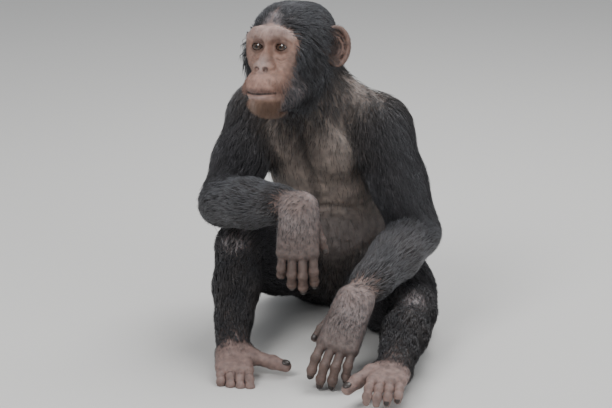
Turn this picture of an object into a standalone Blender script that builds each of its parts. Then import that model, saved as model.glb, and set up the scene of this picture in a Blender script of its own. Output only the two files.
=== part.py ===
"""A young chimpanzee, life-size, sitting with its forearms on its knees.

Metres, +Z up. The chimpanzee faces -Y, its left side is at +X, and the origin is under its rump, on the
floor. The body is blocked out from tapered limbs and ellipsoids, fused with a voxel Remesh, drawn onto a
smooth blend of the same shapes, and parted with thin cuts into the pieces that a person would name.
"""

import math

import bmesh
import bpy
import numpy as np
from mathutils import Matrix, Vector
from mathutils.bvhtree import BVHTree

# Sizes of the whole and of the mesh
GAP = 0.00035
FUSE_PASSES = ((0.0034, 4), (0.0024, 2))
BODY_TRIANGLES = 6500
COARSEST = 0.22
TRIMMED = ("forearm", "hand", "thumb", "shin", "foot", "toe")
TRIM_RATIO = 0.72
SHARP_ANGLE = math.radians(50)
FLOOR_DEPTH = 0.2

# Joints of the trunk
PELVIS = Vector((0.0, 0.022, 0.088))
WAIST = Vector((-0.002, -0.012, 0.168))
CHEST = Vector((-0.010, -0.058, 0.262))
COLLAR = Vector((-0.012, -0.084, 0.338))
NECK = Vector((-0.018, -0.112, 0.392))
HEAD = Vector((-0.030, -0.165, 0.475))
CHEST_TURN = math.radians(-10)
HEAD_TURN = math.radians(-10)
HEAD_LIFT = math.radians(-9)
HEAD_TILT = math.radians(-4)

# Joints of the limbs
SHOULDER = {"right": Vector((-0.124, -0.083, 0.342)), "left": Vector((0.100, -0.098, 0.344))}
ELBOW = {"right": Vector((-0.128, -0.228, 0.232)), "left": Vector((0.170, -0.118, 0.178))}
WRIST = {"right": Vector((0.040, -0.328, 0.268)), "left": Vector((0.138, -0.332, 0.124))}
KNUCKLES = {"right": Vector((0.047, -0.352, 0.196)), "left": Vector((0.131, -0.400, 0.064))}
HIP = {"right": Vector((-0.060, 0.008, 0.086)), "left": Vector((0.064, 0.004, 0.082))}
KNEE = {"right": Vector((-0.114, -0.195, 0.149)), "left": Vector((0.190, -0.198, 0.070))}
ANKLE = {"right": Vector((-0.062, -0.360, 0.048)), "left": Vector((0.226, -0.398, 0.050))}
BALL = {"right": Vector((-0.030, -0.432, 0.022)), "left": Vector((0.236, -0.472, 0.046))}

# Slope from the neck to the shoulders
YOKE_END = {"right": Vector((0.004, 0.008, 0.025)), "left": Vector((-0.014, 0.008, 0.022))}
YOKE_RADIUS = {"right": 0.037, "left": 0.035}

# Half widths of the limbs, coat included
UPPER_ARM_RADII = (0.045, 0.041, 0.035)
FOREARM_RADII = (0.036, 0.037, 0.024)
THIGH_RADII = (0.074, 0.062, 0.038)
SHIN_RADII = (0.036, 0.035, 0.025)
THIGH_SAG = {"right": -0.006, "left": -0.014}

# Hands and feet
FINGER_SPACING = 0.0162
FINGER_RADIUS = 0.0074
JOINT_SWELL = 1.08
FINGER_LENGTHS = {"index": 0.066, "middle": 0.074, "ring": 0.070, "little": 0.056}
TOE_SPACING = 0.0142
TOE_RADIUS = 0.0066
TOE_LENGTHS = {"second": 0.046, "third": 0.048, "fourth": 0.045, "fifth": 0.039}
FINGERS = ("index", "middle", "ring", "little")
TOES = ("second", "third", "fourth", "fifth")

# The head, in its own frame: x to its left, y to its back, z up, from between the ear holes
EYE_RADIUS = 0.0112
EYE_OPENING = (0.0125, 0.0090, 0.0062)
ALMOND_PINCH = 0.45
LID = 0.0016
EYE_PLACE = (0.0222, -0.0690, 0.0130)
NOSTRIL = (0.0078, -0.0225)
NOSTRIL_RADII = (0.0048, 0.0080, 0.0040)
MOUTH_HALF = 0.0290
MOUTH_HEIGHT = -0.0620
MOUTH_CURVE = 0.0035
FACE_STEPS = 40
EAR_ROOT = (0.0575, 0.0090, 0.0140)
EAR_HALF_HEIGHT = 0.0305
EAR_HALF_WIDTH = 0.0205
EAR_RIM = 0.0042
EAR_RIDGE = ((-0.25, 0.62), (0.22, 0.42), (0.55, 0.08), (0.55, -0.30), (0.20, -0.60))

SIDES = {"right": -1, "left": 1}

# How much of its fine mesh each kind of part keeps, and the balls in the head that keep all of it
FINE_SHARE = {"ear": 1.0, "hand": 0.6, "thumb": 0.7, "finger": 0.85, "foot": 0.5, "toe": 0.7, "head": 0.3}
FINE_SPOTS = (((0.0, -0.085, -0.020), 0.062), ((-0.062, 0.014, 0.010), 0.040), ((0.062, 0.014, 0.010), 0.040))

# The coat: for each kind of piece, how deep the core lies inside the outline, then the number of locks, their
# length, half width, and how far the tips stand off the core
CORE_DEPTH = {
    "torso": 0.003,
    "neck": 0.003,
    "head": 0.002,
    "arm": 0.003,
    "forearm": 0.003,
    "thigh": 0.003,
    "shin": 0.002,
}
LOCKS = {
    "torso": (34, 0.066, 0.0150, 0.011),
    "head": (18, 0.034, 0.0080, 0.008),
    "arm": (11, 0.056, 0.0120, 0.011),
    "forearm": (9, 0.050, 0.0100, 0.010),
    "thigh": (8, 0.054, 0.0120, 0.009),
    "shin": (6, 0.044, 0.0095, 0.008),
}
LOCK_STATIONS = (0.0, 0.36, 0.70, 1.0)
LOCK_RISES = (-0.30, 0.45, 0.85, 1.0)
LOCK_WIDTHS = (0.85, 1.0, 0.70)
LOCK_THICKNESS = 0.0026
CANDIDATES_PER_LOCK = 5
LOCK_CLEARANCE = 0.0014
CORE_BLEND = 0.010
FACE_EDGE = 0.015
SINK_STEPS = 4
HAIR_FRONT = -0.034
HAIR_CROWN = 0.034
BACK_LINE = (-0.075, 0.10, 0.30)
LOWEST_ROOT = {"torso": 0.06, "limb": 0.02}
KNEECAP = (Vector((0, -0.020, 0.020)), 0.04)
ROOT_SCATTER = 0.003
LIE_SCATTER = 0.16
LENGTH_RANGE = (0.8, 1.15)
SEED = 11

# Cuts at the joints
NECK_ROOT = NECK + Vector((-0.002, -0.003, 0.013))
NECK_PLATE = (0.096, 0.085)
PLATE_SPOKES = 14
PLATE_RINGS = 4
MOST_STRETCH = 2.5
CAP_REACH = 0.0030

# Colour and roughness of each part
COLOURS = {
    "coat": ((0.045, 0.038, 0.036), 0.7),
    "head": ((0.060, 0.048, 0.044), 0.7),
    "torso": ((0.075, 0.062, 0.056), 0.7),
    "ear": ((0.300, 0.170, 0.130), 0.6),
    "eye": ((0.020, 0.012, 0.008), 0.15),
    "hand": ((0.170, 0.125, 0.110), 0.6),
    "thumb": ((0.190, 0.140, 0.125), 0.6),
    "finger": ((0.190, 0.140, 0.125), 0.6),
    "foot": ((0.180, 0.125, 0.105), 0.6),
    "toe": ((0.200, 0.140, 0.120), 0.6),
}


def round_points(subdivisions):
    """The corners of a ball of radius 1."""
    bm = bmesh.new()
    bmesh.ops.create_icosphere(bm, subdivisions=subdivisions, radius=1)
    points = [vert.co.copy() for vert in bm.verts]
    bm.free()
    return points


ROUND = round_points(2)


class Limb:
    """A tapered length of flesh between two points. Its section is an ellipse, flat times as deep as wide."""

    def __init__(self, start, end, start_radius, end_radius, flat=1.0, wide=(1, 0, 0), soft=0.012):
        self.start = Vector(start)
        self.end = Vector(end)
        self.radii = (start_radius, end_radius)
        self.flat = flat
        self.soft = soft
        along = (self.end - self.start).normalized()
        self.thin = along.cross(Vector(wide)).normalized()

    def distance(self, points):
        start = np.array(self.start)
        axis = np.array(self.end) - start
        share = np.clip((points - start) @ axis / (axis @ axis), 0, 1)
        away = points - start - share[:, None] * axis
        thin = np.array(self.thin)
        away = away + np.outer(away @ thin * (1 / self.flat - 1), thin)
        radius = self.radii[0] + (self.radii[1] - self.radii[0]) * share
        return np.linalg.norm(away, axis=1) - radius

    def fill(self, bm):
        squash = Matrix.Scale(self.flat, 3, self.thin)
        corners = []
        for centre, radius in zip((self.start, self.end), self.radii):
            corners += [bm.verts.new(centre + squash @ point * radius) for point in ROUND]
        made = bmesh.ops.convex_hull(bm, input=corners)
        inner = [item for item in made["geom_interior"] if isinstance(item, bmesh.types.BMVert)]
        bmesh.ops.delete(bm, geom=inner, context="VERTS")

    def bounds(self):
        return (self.start + self.end) / 2, (self.end - self.start).length / 2 + max(self.radii)


class Ball:
    """An ellipsoid of flesh with its radii along the axes of turn."""

    def __init__(self, centre, radii, turn=None, soft=0.012):
        self.centre = Vector(centre)
        self.radii = Vector(radii)
        self.turn = turn or Matrix.Identity(3)
        self.soft = soft

    def distance(self, points):
        local = (points - np.array(self.centre)) @ np.array(self.turn)
        radii = np.array(self.radii)
        near = np.linalg.norm(local / radii, axis=1)
        slope = np.linalg.norm(local / radii**2, axis=1)
        return near * (near - 1) / np.maximum(slope, 1e-6)

    def fill(self, bm):
        for vert in bmesh.ops.create_icosphere(bm, subdivisions=3, radius=1)["verts"]:
            vert.co = self.centre + self.turn @ Vector(a * b for a, b in zip(vert.co, self.radii))

    def bounds(self):
        return self.centre, max(self.radii)


class Flesh:
    """Shapes that blend into one piece, which blends with what it grows from only near its own root."""

    def __init__(self, shapes, root=None, reach=0.0, soft=0.0):
        self.shapes = shapes
        self.root = root
        self.reach = reach
        self.soft = soft
        ends = [shape.bounds() for shape in shapes]
        self.centre = sum((centre for centre, _ in ends), Vector()) / len(ends)
        self.radius = max((centre - self.centre).length + radius for centre, radius in ends)

    def distance(self, points):
        total = self.shapes[0].distance(points)
        for shape in self.shapes[1:]:
            total = smooth_least(total, shape.distance(points), shape.soft)
        return total


class Stroke:
    """A groove along a path, or a ridge where its depth is negative."""

    def __init__(self, path, width, depth):
        self.path = [np.array(point) for point in path]
        self.width = width
        self.depth = depth
        self.centre = sum(self.path) / len(self.path)
        self.radius = max(np.linalg.norm(point - self.centre) for point in self.path) + 3 * width

    def press(self, points):
        away = np.full(len(points), 1.0)
        for start, end in zip(self.path, self.path[1:]):
            axis = end - start
            share = np.clip((points - start) @ axis / (axis @ axis), 0, 1)
            away = np.minimum(away, np.linalg.norm(points - start - share[:, None] * axis, axis=1))
        return self.depth * np.exp(-((away / self.width) ** 2))


class Hollow:
    """An ellipsoid pressed into the body, with a soft edge."""

    def __init__(self, centre, radii, turn, soft):
        self.ball = Ball(centre, radii, turn)
        self.centre = np.array(self.ball.centre)
        self.radius = max(radii) + 0.02
        self.soft = soft

    def carve(self, points, distance):
        return -smooth_least(-distance, self.ball.distance(points), self.soft)


def smooth_least(first, second, soft):
    """The smaller of two distances, rounded where they meet."""
    soft = np.maximum(soft, 1e-6)
    near = np.maximum(soft - np.abs(first - second), 0) / soft
    return np.minimum(first, second) - near * near * soft / 4


class Body:
    """The whole animal: flesh in the order in which it joins, what is pressed into it, and the lids."""

    def __init__(self, flesh, hollows, lids, strokes):
        self.flesh = flesh
        self.hollows = hollows
        self.lids = lids
        self.strokes = strokes

    def distance(self, points):
        total = np.full(len(points), 1.0)
        for piece in self.flesh.values():
            near = np.linalg.norm(points - np.array(piece.centre), axis=1) < piece.radius + 0.04
            some = points[near]
            soft = piece.soft
            if piece.root is not None:
                far = np.linalg.norm(some - np.array(piece.root), axis=1) / piece.reach
                soft = piece.soft * np.clip(1.5 - far, 0, 1)
            total[near] = smooth_least(total[near], piece.distance(some), soft)
        for hollow in self.hollows:
            near = np.linalg.norm(points - hollow.centre, axis=1) < hollow.radius
            total[near] = hollow.carve(points[near], total[near])
        for lid in self.lids:
            near = np.linalg.norm(points - np.array(lid.centre), axis=1) < max(lid.radii) + 0.01
            total[near] = smooth_least(total[near], lid.distance(points[near]), lid.soft)
        for stroke in self.strokes:
            near = np.linalg.norm(points - stroke.centre, axis=1) < stroke.radius
            total[near] += stroke.press(points[near])
        return total

    def owners(self, points):
        """For each point, the index of the piece of flesh that it lies deepest in."""
        depths = np.stack([piece.distance(points) for piece in self.flesh.values()])
        return depths.argmin(axis=0)


def settle(points, distance, steps=4, step=0.0003, most=0.004):
    """Draws points onto the surface where the distance is nought."""
    points = points.copy()
    shifts = step * np.eye(3)
    for _ in range(steps):
        here = distance(points)
        slope = np.stack([(distance(points + shift) - here) / step for shift in shifts], axis=1)
        move = (here / np.maximum((slope**2).sum(axis=1), 0.05))[:, None] * slope
        length = np.linalg.norm(move, axis=1, keepdims=True)
        points -= move * np.minimum(1, most / np.maximum(length, 1e-9))
    return points


def chain(points, radii, **settings):
    """Limbs from point to point, with a radius at each."""
    return [
        Limb(start, end, first, last, **settings)
        for start, end, first, last in zip(points, points[1:], radii, radii[1:])
    ]


# The trunk and the limbs


def trunk():
    turned = Matrix.Rotation(CHEST_TURN, 3, "Z")
    lean = turned @ Matrix.Rotation(math.radians(14), 3, "X")
    shapes = [
        Ball(PELVIS, (0.104, 0.084, 0.096), soft=0.04),
        Ball(WAIST + Vector((-0.003, -0.016, -0.012)), (0.110, 0.088, 0.086), soft=0.03),
        Ball(WAIST + Vector((0, 0.036, 0.006)), (0.086, 0.058, 0.090), soft=0.03),
        Ball(CHEST, (0.104, 0.078, 0.104), lean, soft=0.03),
        Ball(CHEST + Vector((0.002, 0.040, 0.030)), (0.090, 0.060, 0.092), lean, soft=0.03),
        Ball(COLLAR, (0.100, 0.054, 0.050), turned, soft=0.03),
    ]
    for side, sign in SIDES.items():
        shapes.append(Limb(NECK + Vector((sign * 0.024, 0.026, 0.008)), SHOULDER[side] + YOKE_END[side],
                           0.040, YOKE_RADIUS[side], soft=0.03))
        breast = turned @ Vector((sign * 0.046, -0.046, -0.030))
        blade = turned @ Vector((sign * 0.066, 0.046, -0.034))
        shapes += [
            Ball(COLLAR + breast, (0.047, 0.026, 0.050), lean, soft=0.02),
            Ball(COLLAR + blade, (0.048, 0.040, 0.066), lean, soft=0.03),
            Ball(PELVIS + Vector((sign * 0.046, 0.012, -0.042)), (0.052, 0.058, 0.050), soft=0.03),
        ]
    return shapes


def neck():
    shapes = chain([COLLAR + Vector((0, 0.018, 0.0)), NECK, HEAD + Vector((0, 0.030, -0.020))],
                   [0.066, 0.056, 0.052], soft=0.03)
    return shapes


def upper_arm(side):
    shoulder, elbow = SHOULDER[side], ELBOW[side]
    middle = shoulder.lerp(elbow, 0.5)
    shapes = chain([shoulder, middle, elbow], UPPER_ARM_RADII, soft=0.02)
    muscle = shoulder + Vector((SIDES[side] * 0.006, 0.004, 0.0))
    shapes.append(Ball(muscle, (0.042, 0.044, 0.044), soft=0.02))
    return shapes


def forearm(side):
    elbow, wrist = ELBOW[side], WRIST[side]
    middle = elbow.lerp(wrist, 0.35)
    low = elbow.lerp(wrist, 0.75)
    shapes = chain([elbow, middle, low], (FOREARM_RADII[0], FOREARM_RADII[1], 0.029), soft=0.016)
    wide = thumbwards(side, "hand")
    shapes.append(Limb(low, wrist, 0.029, FOREARM_RADII[2], flat=0.86, wide=wide, soft=0.016))
    point = elbow + (elbow - SHOULDER[side].lerp(wrist, 0.5)).normalized() * 0.004
    shapes.append(Ball(point, (0.025, 0.025, 0.025), soft=0.016))
    return shapes


def thigh(side):
    hip, knee = HIP[side], KNEE[side]
    middle = hip.lerp(knee, 0.5) + Vector((0, 0, THIGH_SAG[side]))
    return chain([hip, middle, knee], THIGH_RADII, soft=0.03)


def shin(side):
    knee, ankle = KNEE[side], ANKLE[side]
    along = (ankle - knee).normalized()
    back = (Vector((0, 0, -1)) - along * along.dot(Vector((0, 0, -1)))).normalized()
    middle = knee.lerp(ankle, 0.45)
    low = knee.lerp(ankle, 0.8)
    radii = (SHIN_RADII[0], SHIN_RADII[1], 0.027, SHIN_RADII[2])
    shapes = chain([knee, middle, low, ankle], radii, soft=0.016)
    calf_top = knee.lerp(ankle, 0.2) + back * 0.010
    calf_end = knee.lerp(ankle, 0.55) + back * 0.007
    shapes.append(Limb(calf_top, calf_end, 0.026, 0.024, soft=0.02))
    shapes.append(Ball(knee - back * 0.012 - along * 0.006, (0.024, 0.024, 0.024), soft=0.016))
    return shapes


# Hands and feet, each in a frame of its own

HAND_BACK = {"right": Vector((0.30, -0.93, 0.20)), "left": Vector((0.22, -0.55, 0.80))}
FOOT_BACK = {"right": Vector((0.05, -0.15, 1.0)), "left": Vector((0.10, -0.20, 1.0))}


def frame_of(side, part):
    """The directions along, towards the thumb or big toe, and out of the back of a hand or foot."""
    if part == "hand":
        along = (KNUCKLES[side] - WRIST[side]).normalized()
        back = HAND_BACK[side]
    else:
        along = (BALL[side] - ANKLE[side]).normalized()
        back = FOOT_BACK[side]
    back = (back - along * along.dot(back)).normalized()
    across = back.cross(along) * -SIDES[side]
    return along, across, back


def thumbwards(side, part):
    return frame_of(side, part)[1]


def palm(side):
    along, across, back = frame_of(side, "hand")
    wrist, knuckles = WRIST[side], KNUCKLES[side]
    shapes = []
    for place in (-1.5, -0.5, 0.5, 1.5):
        knuckle = knuckle_of(side, place)
        start = wrist + across * place * FINGER_SPACING * 0.62
        shapes.append(Limb(start, knuckle, 0.0165, 0.0104, flat=0.9, wide=across, soft=0.012))
        shapes.append(Ball(knuckle + back * 0.0028, (0.0078, 0.0078, 0.0078), soft=0.004))
    turn = axes(across, back, along)
    shapes.append(Ball(wrist.lerp(knuckles, 0.1), (0.026, 0.020, 0.022), turn, soft=0.012))
    pad = wrist.lerp(knuckles, 0.4) + across * 0.018 - back * 0.010
    shapes.append(Limb(pad - along * 0.012, pad + along * 0.018, 0.014, 0.011, soft=0.012))
    return shapes


def axes(first, second, third):
    """A turn whose columns are these three directions."""
    return Matrix((first, second, third)).transposed()


def knuckle_of(side, place):
    """The root of a finger, counted in spacings from the middle of the hand towards the thumb."""
    along, across, back = frame_of(side, "hand")
    bow = 0.0035 * (2.25 - place * place) / 2.25
    return KNUCKLES[side] + across * place * FINGER_SPACING + along * bow + back * bow * 0.5


def digit(root, along, back, across, lengths, bends, radii, fan=0.0):
    """The bones of a finger or toe, each bent towards the palm or sole from the one before."""
    heading = (along + across * fan).normalized()
    shapes = []
    for length, bend, start_radius, end_radius in zip(lengths, bends, radii, radii[1:]):
        heading = (Matrix.Rotation(bend, 3, across) @ heading).normalized()
        tip = root + heading * length
        shapes.append(Limb(root, tip, start_radius, end_radius, soft=0.003))
        shapes.append(Ball(root, (start_radius * JOINT_SWELL,) * 3, soft=0.003))
        root = tip
    return shapes


FINGER_BENDS = {
    "right": {"index": (12, 30, 22), "middle": (8, 34, 24), "ring": (10, 38, 26), "little": (14, 44, 28)},
    "left": {"index": (-4, 36, 26), "middle": (2, 34, 24), "ring": (4, 36, 26), "little": (8, 40, 28)},
}


def finger(side, name):
    along, across, back = frame_of(side, "hand")
    place = 1.5 - FINGERS.index(name)
    length = FINGER_LENGTHS[name]
    bends = [math.radians(bend) * -SIDES[side] for bend in FINGER_BENDS[side][name]]
    bones = (length * 0.46, length * 0.30, length * 0.16)
    small = 0.92 if name == "little" else 1.0
    radii = [FINGER_RADIUS * small * share for share in (1.06, 1.0, 0.96, 0.80)]
    fan = 0.03 * place
    return digit(knuckle_of(side, place), along, back, across, bones, bends, radii, fan)


THUMB_BENDS = {"right": (6, 14), "left": (6, 14)}


def thumb(side):
    along, across, back = frame_of(side, "hand")
    root = WRIST[side].lerp(KNUCKLES[side], 0.42) + across * 0.0270 - back * 0.010
    bends = [math.radians(bend) * -SIDES[side] for bend in THUMB_BENDS[side]]
    return digit(root, along, back, across, (0.026, 0.018), bends, (0.0090, 0.0078, 0.0064), fan=0.38)


def foot(side):
    along, across, back = frame_of(side, "foot")
    ankle, ball = ANKLE[side], BALL[side]
    heel = ankle - along * 0.020 - Vector((0, 0, 0.028))
    shapes = [
        Ball(heel, (0.021, 0.022, 0.020), soft=0.016),
        Limb(ankle, ankle.lerp(ball, 0.6), 0.024, 0.017, flat=0.9, wide=across, soft=0.016),
        Limb(heel + Vector((0, 0, 0.004)), ball - across * 0.014, 0.020, 0.013, flat=0.85, wide=across,
             soft=0.014),
    ]
    for place in (-1.5, -0.5, 0.5, 1.5):
        root = toe_root(side, place)
        start = ankle.lerp(ball, 0.45) + across * place * TOE_SPACING * 0.7 - Vector((0, 0, 0.004))
        shapes.append(Limb(start, root, 0.0145, 0.0092, flat=0.9, wide=across, soft=0.010))
    big = big_toe_root(side)
    root = ankle.lerp(ball, 0.2) + across * 0.008 - Vector((0, 0, 0.012))
    shapes.append(Limb(root, big, 0.018, 0.0125, soft=0.012))
    return shapes


def toe_root(side, place):
    along, across, back = frame_of(side, "foot")
    bow = 0.005 * (1 + place / 1.5)
    return BALL[side] + across * place * TOE_SPACING + along * bow


def big_toe_root(side):
    along, across, back = frame_of(side, "foot")
    return ANKLE[side].lerp(BALL[side], 0.62) + across * 0.030 - Vector((0, 0, 0.004))


TOE_BENDS = {"right": (4, 30, 34), "left": (16, 30, 24)}


def toe(side, name):
    along, across, back = frame_of(side, "foot")
    place = 1.5 - TOES.index(name)
    length = TOE_LENGTHS[name]
    bends = [math.radians(bend) * -SIDES[side] for bend in TOE_BENDS[side]]
    bones = (length * 0.42, length * 0.30, length * 0.20)
    radii = [TOE_RADIUS * share for share in (1.12, 1.04, 1.0, 0.86)]
    return digit(toe_root(side, place), along, back, across, bones, bends, radii, 0.03 * place)


BIG_TOE_FAN = {"right": 2.4, "left": 0.55}


def big_toe(side):
    along, across, back = frame_of(side, "foot")
    bends = [math.radians(bend) * -SIDES[side] for bend in (10, 12)]
    root = big_toe_root(side)
    radii = (0.0118, 0.0108, 0.0092)
    return digit(root, along, back, across, (0.034, 0.022), bends, radii, BIG_TOE_FAN[side])


# The head, in its own frame

HEAD_AXES = (Matrix.Rotation(HEAD_TURN, 3, "Z") @ Matrix.Rotation(HEAD_LIFT, 3, "X")
             @ Matrix.Rotation(HEAD_TILT, 3, "Y"))


def on_head(x, y, z):
    return HEAD + HEAD_AXES @ Vector((x, y, z))


def head_ball(x, y, z, radii, soft=0.012):
    return Ball(on_head(x, y, z), radii, HEAD_AXES, soft)


def head_chain(points, radii, soft=0.008):
    return chain([on_head(*point) for point in points], radii, soft=soft)


def on_face(spots):
    """The points of the face that lie straight in front of spots given by x and z in the head's frame."""
    flesh = Flesh(head())
    points = np.array([on_head(x, -0.150, z) for x, z in spots])
    backward = np.array(HEAD_AXES @ Vector((0, 1, 0)))
    for _ in range(FACE_STEPS):
        points += np.outer(flesh.distance(points), backward)
    return list(points)


def both(maker):
    """What a maker gives for each side, where its argument is the side's sign."""
    return [shape for sign in SIDES.values() for shape in maker(sign)]


def head():
    outer_brow = [(0.039, -0.050, -0.004), (0.040, -0.056, 0.014)]
    inner_brow = [(0.035, -0.068, 0.029), (0.020, -0.079, 0.036)]
    half_brow = outer_brow + inner_brow
    half_radii = [0.0070, 0.0076, 0.0080, 0.0086]
    brow = [(-x, y, z) for x, y, z in half_brow] + [(0, -0.083, 0.033)] + half_brow[::-1]
    shapes = [
        head_ball(0, 0.012, 0.036, (0.060, 0.074, 0.054)),
        head_ball(0, 0.046, 0.004, (0.050, 0.040, 0.044), soft=0.02),
        head_ball(0, -0.034, 0.042, (0.045, 0.040, 0.034), soft=0.02),
        head_ball(0, -0.046, -0.010, (0.046, 0.038, 0.044), soft=0.02),
        head_ball(0, -0.074, -0.045, (0.033, 0.037, 0.031), soft=0.016),
        head_ball(0, -0.084, -0.050, (0.033, 0.033, 0.020), soft=0.014),
        head_ball(0, -0.080, -0.070, (0.028, 0.031, 0.016), soft=0.010),
        head_ball(0, -0.071, -0.078, (0.022, 0.025, 0.014), soft=0.014),
        head_ball(0, -0.022, -0.058, (0.036, 0.050, 0.028), soft=0.02),
        *head_chain(brow, half_radii + [0.0082] + half_radii[::-1], soft=0.012),
        *head_chain([(0, -0.079, 0.020), (0, -0.084, -0.002), (0, -0.0945, -0.0145)],
                    [0.0075, 0.0080, 0.0086], soft=0.010),
    ]
    shapes += both(lambda sign: [
        head_ball(sign * 0.037, -0.052, 0.000, (0.014, 0.020, 0.026), soft=0.016),
        *head_chain([(sign * 0.044, -0.006, -0.026), (sign * 0.026, -0.054, -0.064)], [0.022, 0.020], 0.02),
        head_ball(sign * 0.0100, -0.0920, -0.0175, (0.0094, 0.0095, 0.0078), soft=0.005),
    ])
    return shapes


def head_hollows():
    hollows = []
    for sign in SIDES.values():
        x, y, z = EYE_PLACE
        hollows.append(Hollow(on_head(sign * x, y - 0.014, z), (0.0165, 0.0150, 0.0125), HEAD_AXES, 0.010))
        nostril = on_face([(sign * NOSTRIL[0], NOSTRIL[1])])[0]
        hollows.append(Hollow(nostril, NOSTRIL_RADII, HEAD_AXES, 0.002))
    return hollows


def lids():
    """A shell round each eyeball, which the socket's edge blends into."""
    radii = (EYE_RADIUS + LID,) * 3
    return both(lambda sign: [head_ball(sign * EYE_PLACE[0], *EYE_PLACE[1:], radii, soft=0.006)])


def face_strokes(lines, width, depth):
    """The same lines pressed into both sides of the face, each a list of spots by x and z."""
    return [
        Stroke(on_face([(sign * x, z) for x, z in line]), width, depth)
        for sign in SIDES.values() for line in lines
    ]


def head_strokes():
    """The line of the mouth with the lower lip under it, the nose's wings, and the folds round the eyes."""
    mouth = [(x * MOUTH_HALF, MOUTH_HEIGHT + MOUTH_CURVE * x * x) for x in np.linspace(-1, 1, 11)]
    lower_lip = [(x * 0.86, z - 0.0046) for x, z in mouth]
    wing = [(0.0030, -0.0290), (0.0120, -0.0290), (0.0195, -0.0240), (0.0205, -0.0150), (0.0150, -0.0050),
            (0.0115, 0.0030)]
    over = [(0.0105, 0.0150), (0.0160, 0.0215), (0.0230, 0.0235), (0.0300, 0.0215), (0.0345, 0.0160)]
    under = [(0.0120, 0.0050), (0.0180, 0.0010), (0.0250, 0.0005), (0.0315, 0.0040)]
    bag = [(0.0150, -0.0035), (0.0225, -0.0065), (0.0310, -0.0030)]
    return [
        Stroke(on_face(mouth), 0.0026, 0.0040),
        Stroke(on_face(lower_lip), 0.0026, -0.0014),
        *face_strokes([wing], 0.0024, 0.0020),
        *face_strokes([over], 0.0020, 0.0012),
        *face_strokes([under], 0.0018, 0.0010),
        *face_strokes([bag], 0.0024, -0.0010),
    ]


def ear_frame(side):
    """The directions out along an ear's plane, up, and square to it, and the plane's middle."""
    sign = SIDES[side]
    outward = (HEAD_AXES @ Vector((sign * 0.52, 0.84, 0.05))).normalized()
    upward = (HEAD_AXES @ Vector((0, 0.10, 1))).normalized()
    upward = (upward - outward * outward.dot(upward)).normalized()
    facing = outward.cross(upward).normalized() * sign
    root = on_head(sign * EAR_ROOT[0], EAR_ROOT[1], EAR_ROOT[2])
    return outward, upward, facing, root + outward * EAR_HALF_WIDTH * 0.85


def ear(side):
    """The cup of an ear, its plane turned forwards and out, with a rolled rim round a hollow."""
    outward, upward, facing, middle = ear_frame(side)
    root = middle - outward * EAR_HALF_WIDTH * 0.85
    turn = axes(outward, upward, facing)
    rim = []
    for angle in np.linspace(-2.3, 2.5, 27):
        across = math.cos(angle) * EAR_HALF_WIDTH * (1.0 + 0.10 * math.sin(angle))
        rise = math.sin(angle) * EAR_HALF_HEIGHT
        rim.append(middle + outward * across + upward * rise + facing * (0.005 * math.cos(angle) + 0.001))
    bowl = middle - outward * EAR_HALF_WIDTH * 0.30 - upward * EAR_HALF_HEIGHT * 0.12
    stem = root - outward * 0.003 - upward * 0.006 - facing * 0.004
    shapes = [
        Ball(middle - facing * 0.001, (EAR_HALF_WIDTH, EAR_HALF_HEIGHT * 0.98, 0.0036), turn, soft=0.004),
        Ball(bowl - facing * 0.005, (0.0135, 0.0195, 0.0085), turn, soft=0.006),
        Limb(stem - outward * 0.007 - facing * 0.001, stem, 0.0085, 0.0075, soft=0.008),
        *chain(rim, [EAR_RIM] * len(rim), soft=0.0015),
    ]
    ridge = [
        middle + outward * EAR_HALF_WIDTH * across + upward * EAR_HALF_HEIGHT * rise + facing * 0.0030
        for across, rise in EAR_RIDGE
    ]
    shapes += chain(ridge, [0.0016, 0.0028, 0.0030, 0.0028, 0.0016], soft=0.002)
    return shapes


def ear_hollow(side):
    """The cup in front of an ear's bowl."""
    outward, upward, facing, middle = ear_frame(side)
    turn = axes(outward, upward, facing)
    bowl = middle - outward * EAR_HALF_WIDTH * 0.26 - upward * EAR_HALF_HEIGHT * 0.12
    return Hollow(bowl + facing * 0.0035, (0.0105, 0.0160, 0.0085), turn, 0.004)


def body():
    flesh = {
        "torso": Flesh(trunk()),
        "neck": Flesh(neck(), NECK, 0.14, 0.03),
        "head": Flesh(head(), NECK, 0.10, 0.05),
    }
    for side in SIDES:
        ear_root = on_head(SIDES[side] * EAR_ROOT[0], *EAR_ROOT[1:])
        flesh[side + "_ear"] = Flesh(ear(side), ear_root, 0.035, 0.008)
        flesh[side + "_upper_arm"] = Flesh(upper_arm(side), SHOULDER[side], 0.10, 0.035)
        flesh[side + "_forearm"] = Flesh(forearm(side), ELBOW[side], 0.05, 0.02)
        flesh[side + "_hand"] = Flesh(palm(side), WRIST[side], 0.03, 0.014)
        flesh[side + "_thumb"] = Flesh(thumb(side), WRIST[side].lerp(KNUCKLES[side], 0.4), 0.03, 0.008)
        for place, name in enumerate(FINGERS):
            knuckle = knuckle_of(side, 1.5 - place)
            flesh[f"{side}_{name}_finger"] = Flesh(finger(side, name), knuckle, 0.010, 0.004)
        flesh[side + "_thigh"] = Flesh(thigh(side), HIP[side], 0.10, 0.03)
        flesh[side + "_shin"] = Flesh(shin(side), KNEE[side], 0.05, 0.02)
        flesh[side + "_foot"] = Flesh(foot(side), ANKLE[side], 0.03, 0.014)
        flesh[side + "_big_toe"] = Flesh(big_toe(side), big_toe_root(side), 0.02, 0.008)
        for place, name in enumerate(TOES):
            root = toe_root(side, 1.5 - place)
            flesh[f"{side}_{name}_toe"] = Flesh(toe(side, name), root, 0.010, 0.004)
    hollows = head_hollows() + [ear_hollow(side) for side in SIDES]
    return Body(flesh, hollows, lids(), head_strokes())


# Building: one closed skin, cut flat where it rests, opened for the eyes and parted


def plain_object(name, bm):
    mesh = bpy.data.meshes.new(name)
    bm.to_mesh(mesh)
    bm.free()
    made = bpy.data.objects.new(name, mesh)
    bpy.context.scene.collection.objects.link(made)
    return made


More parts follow.
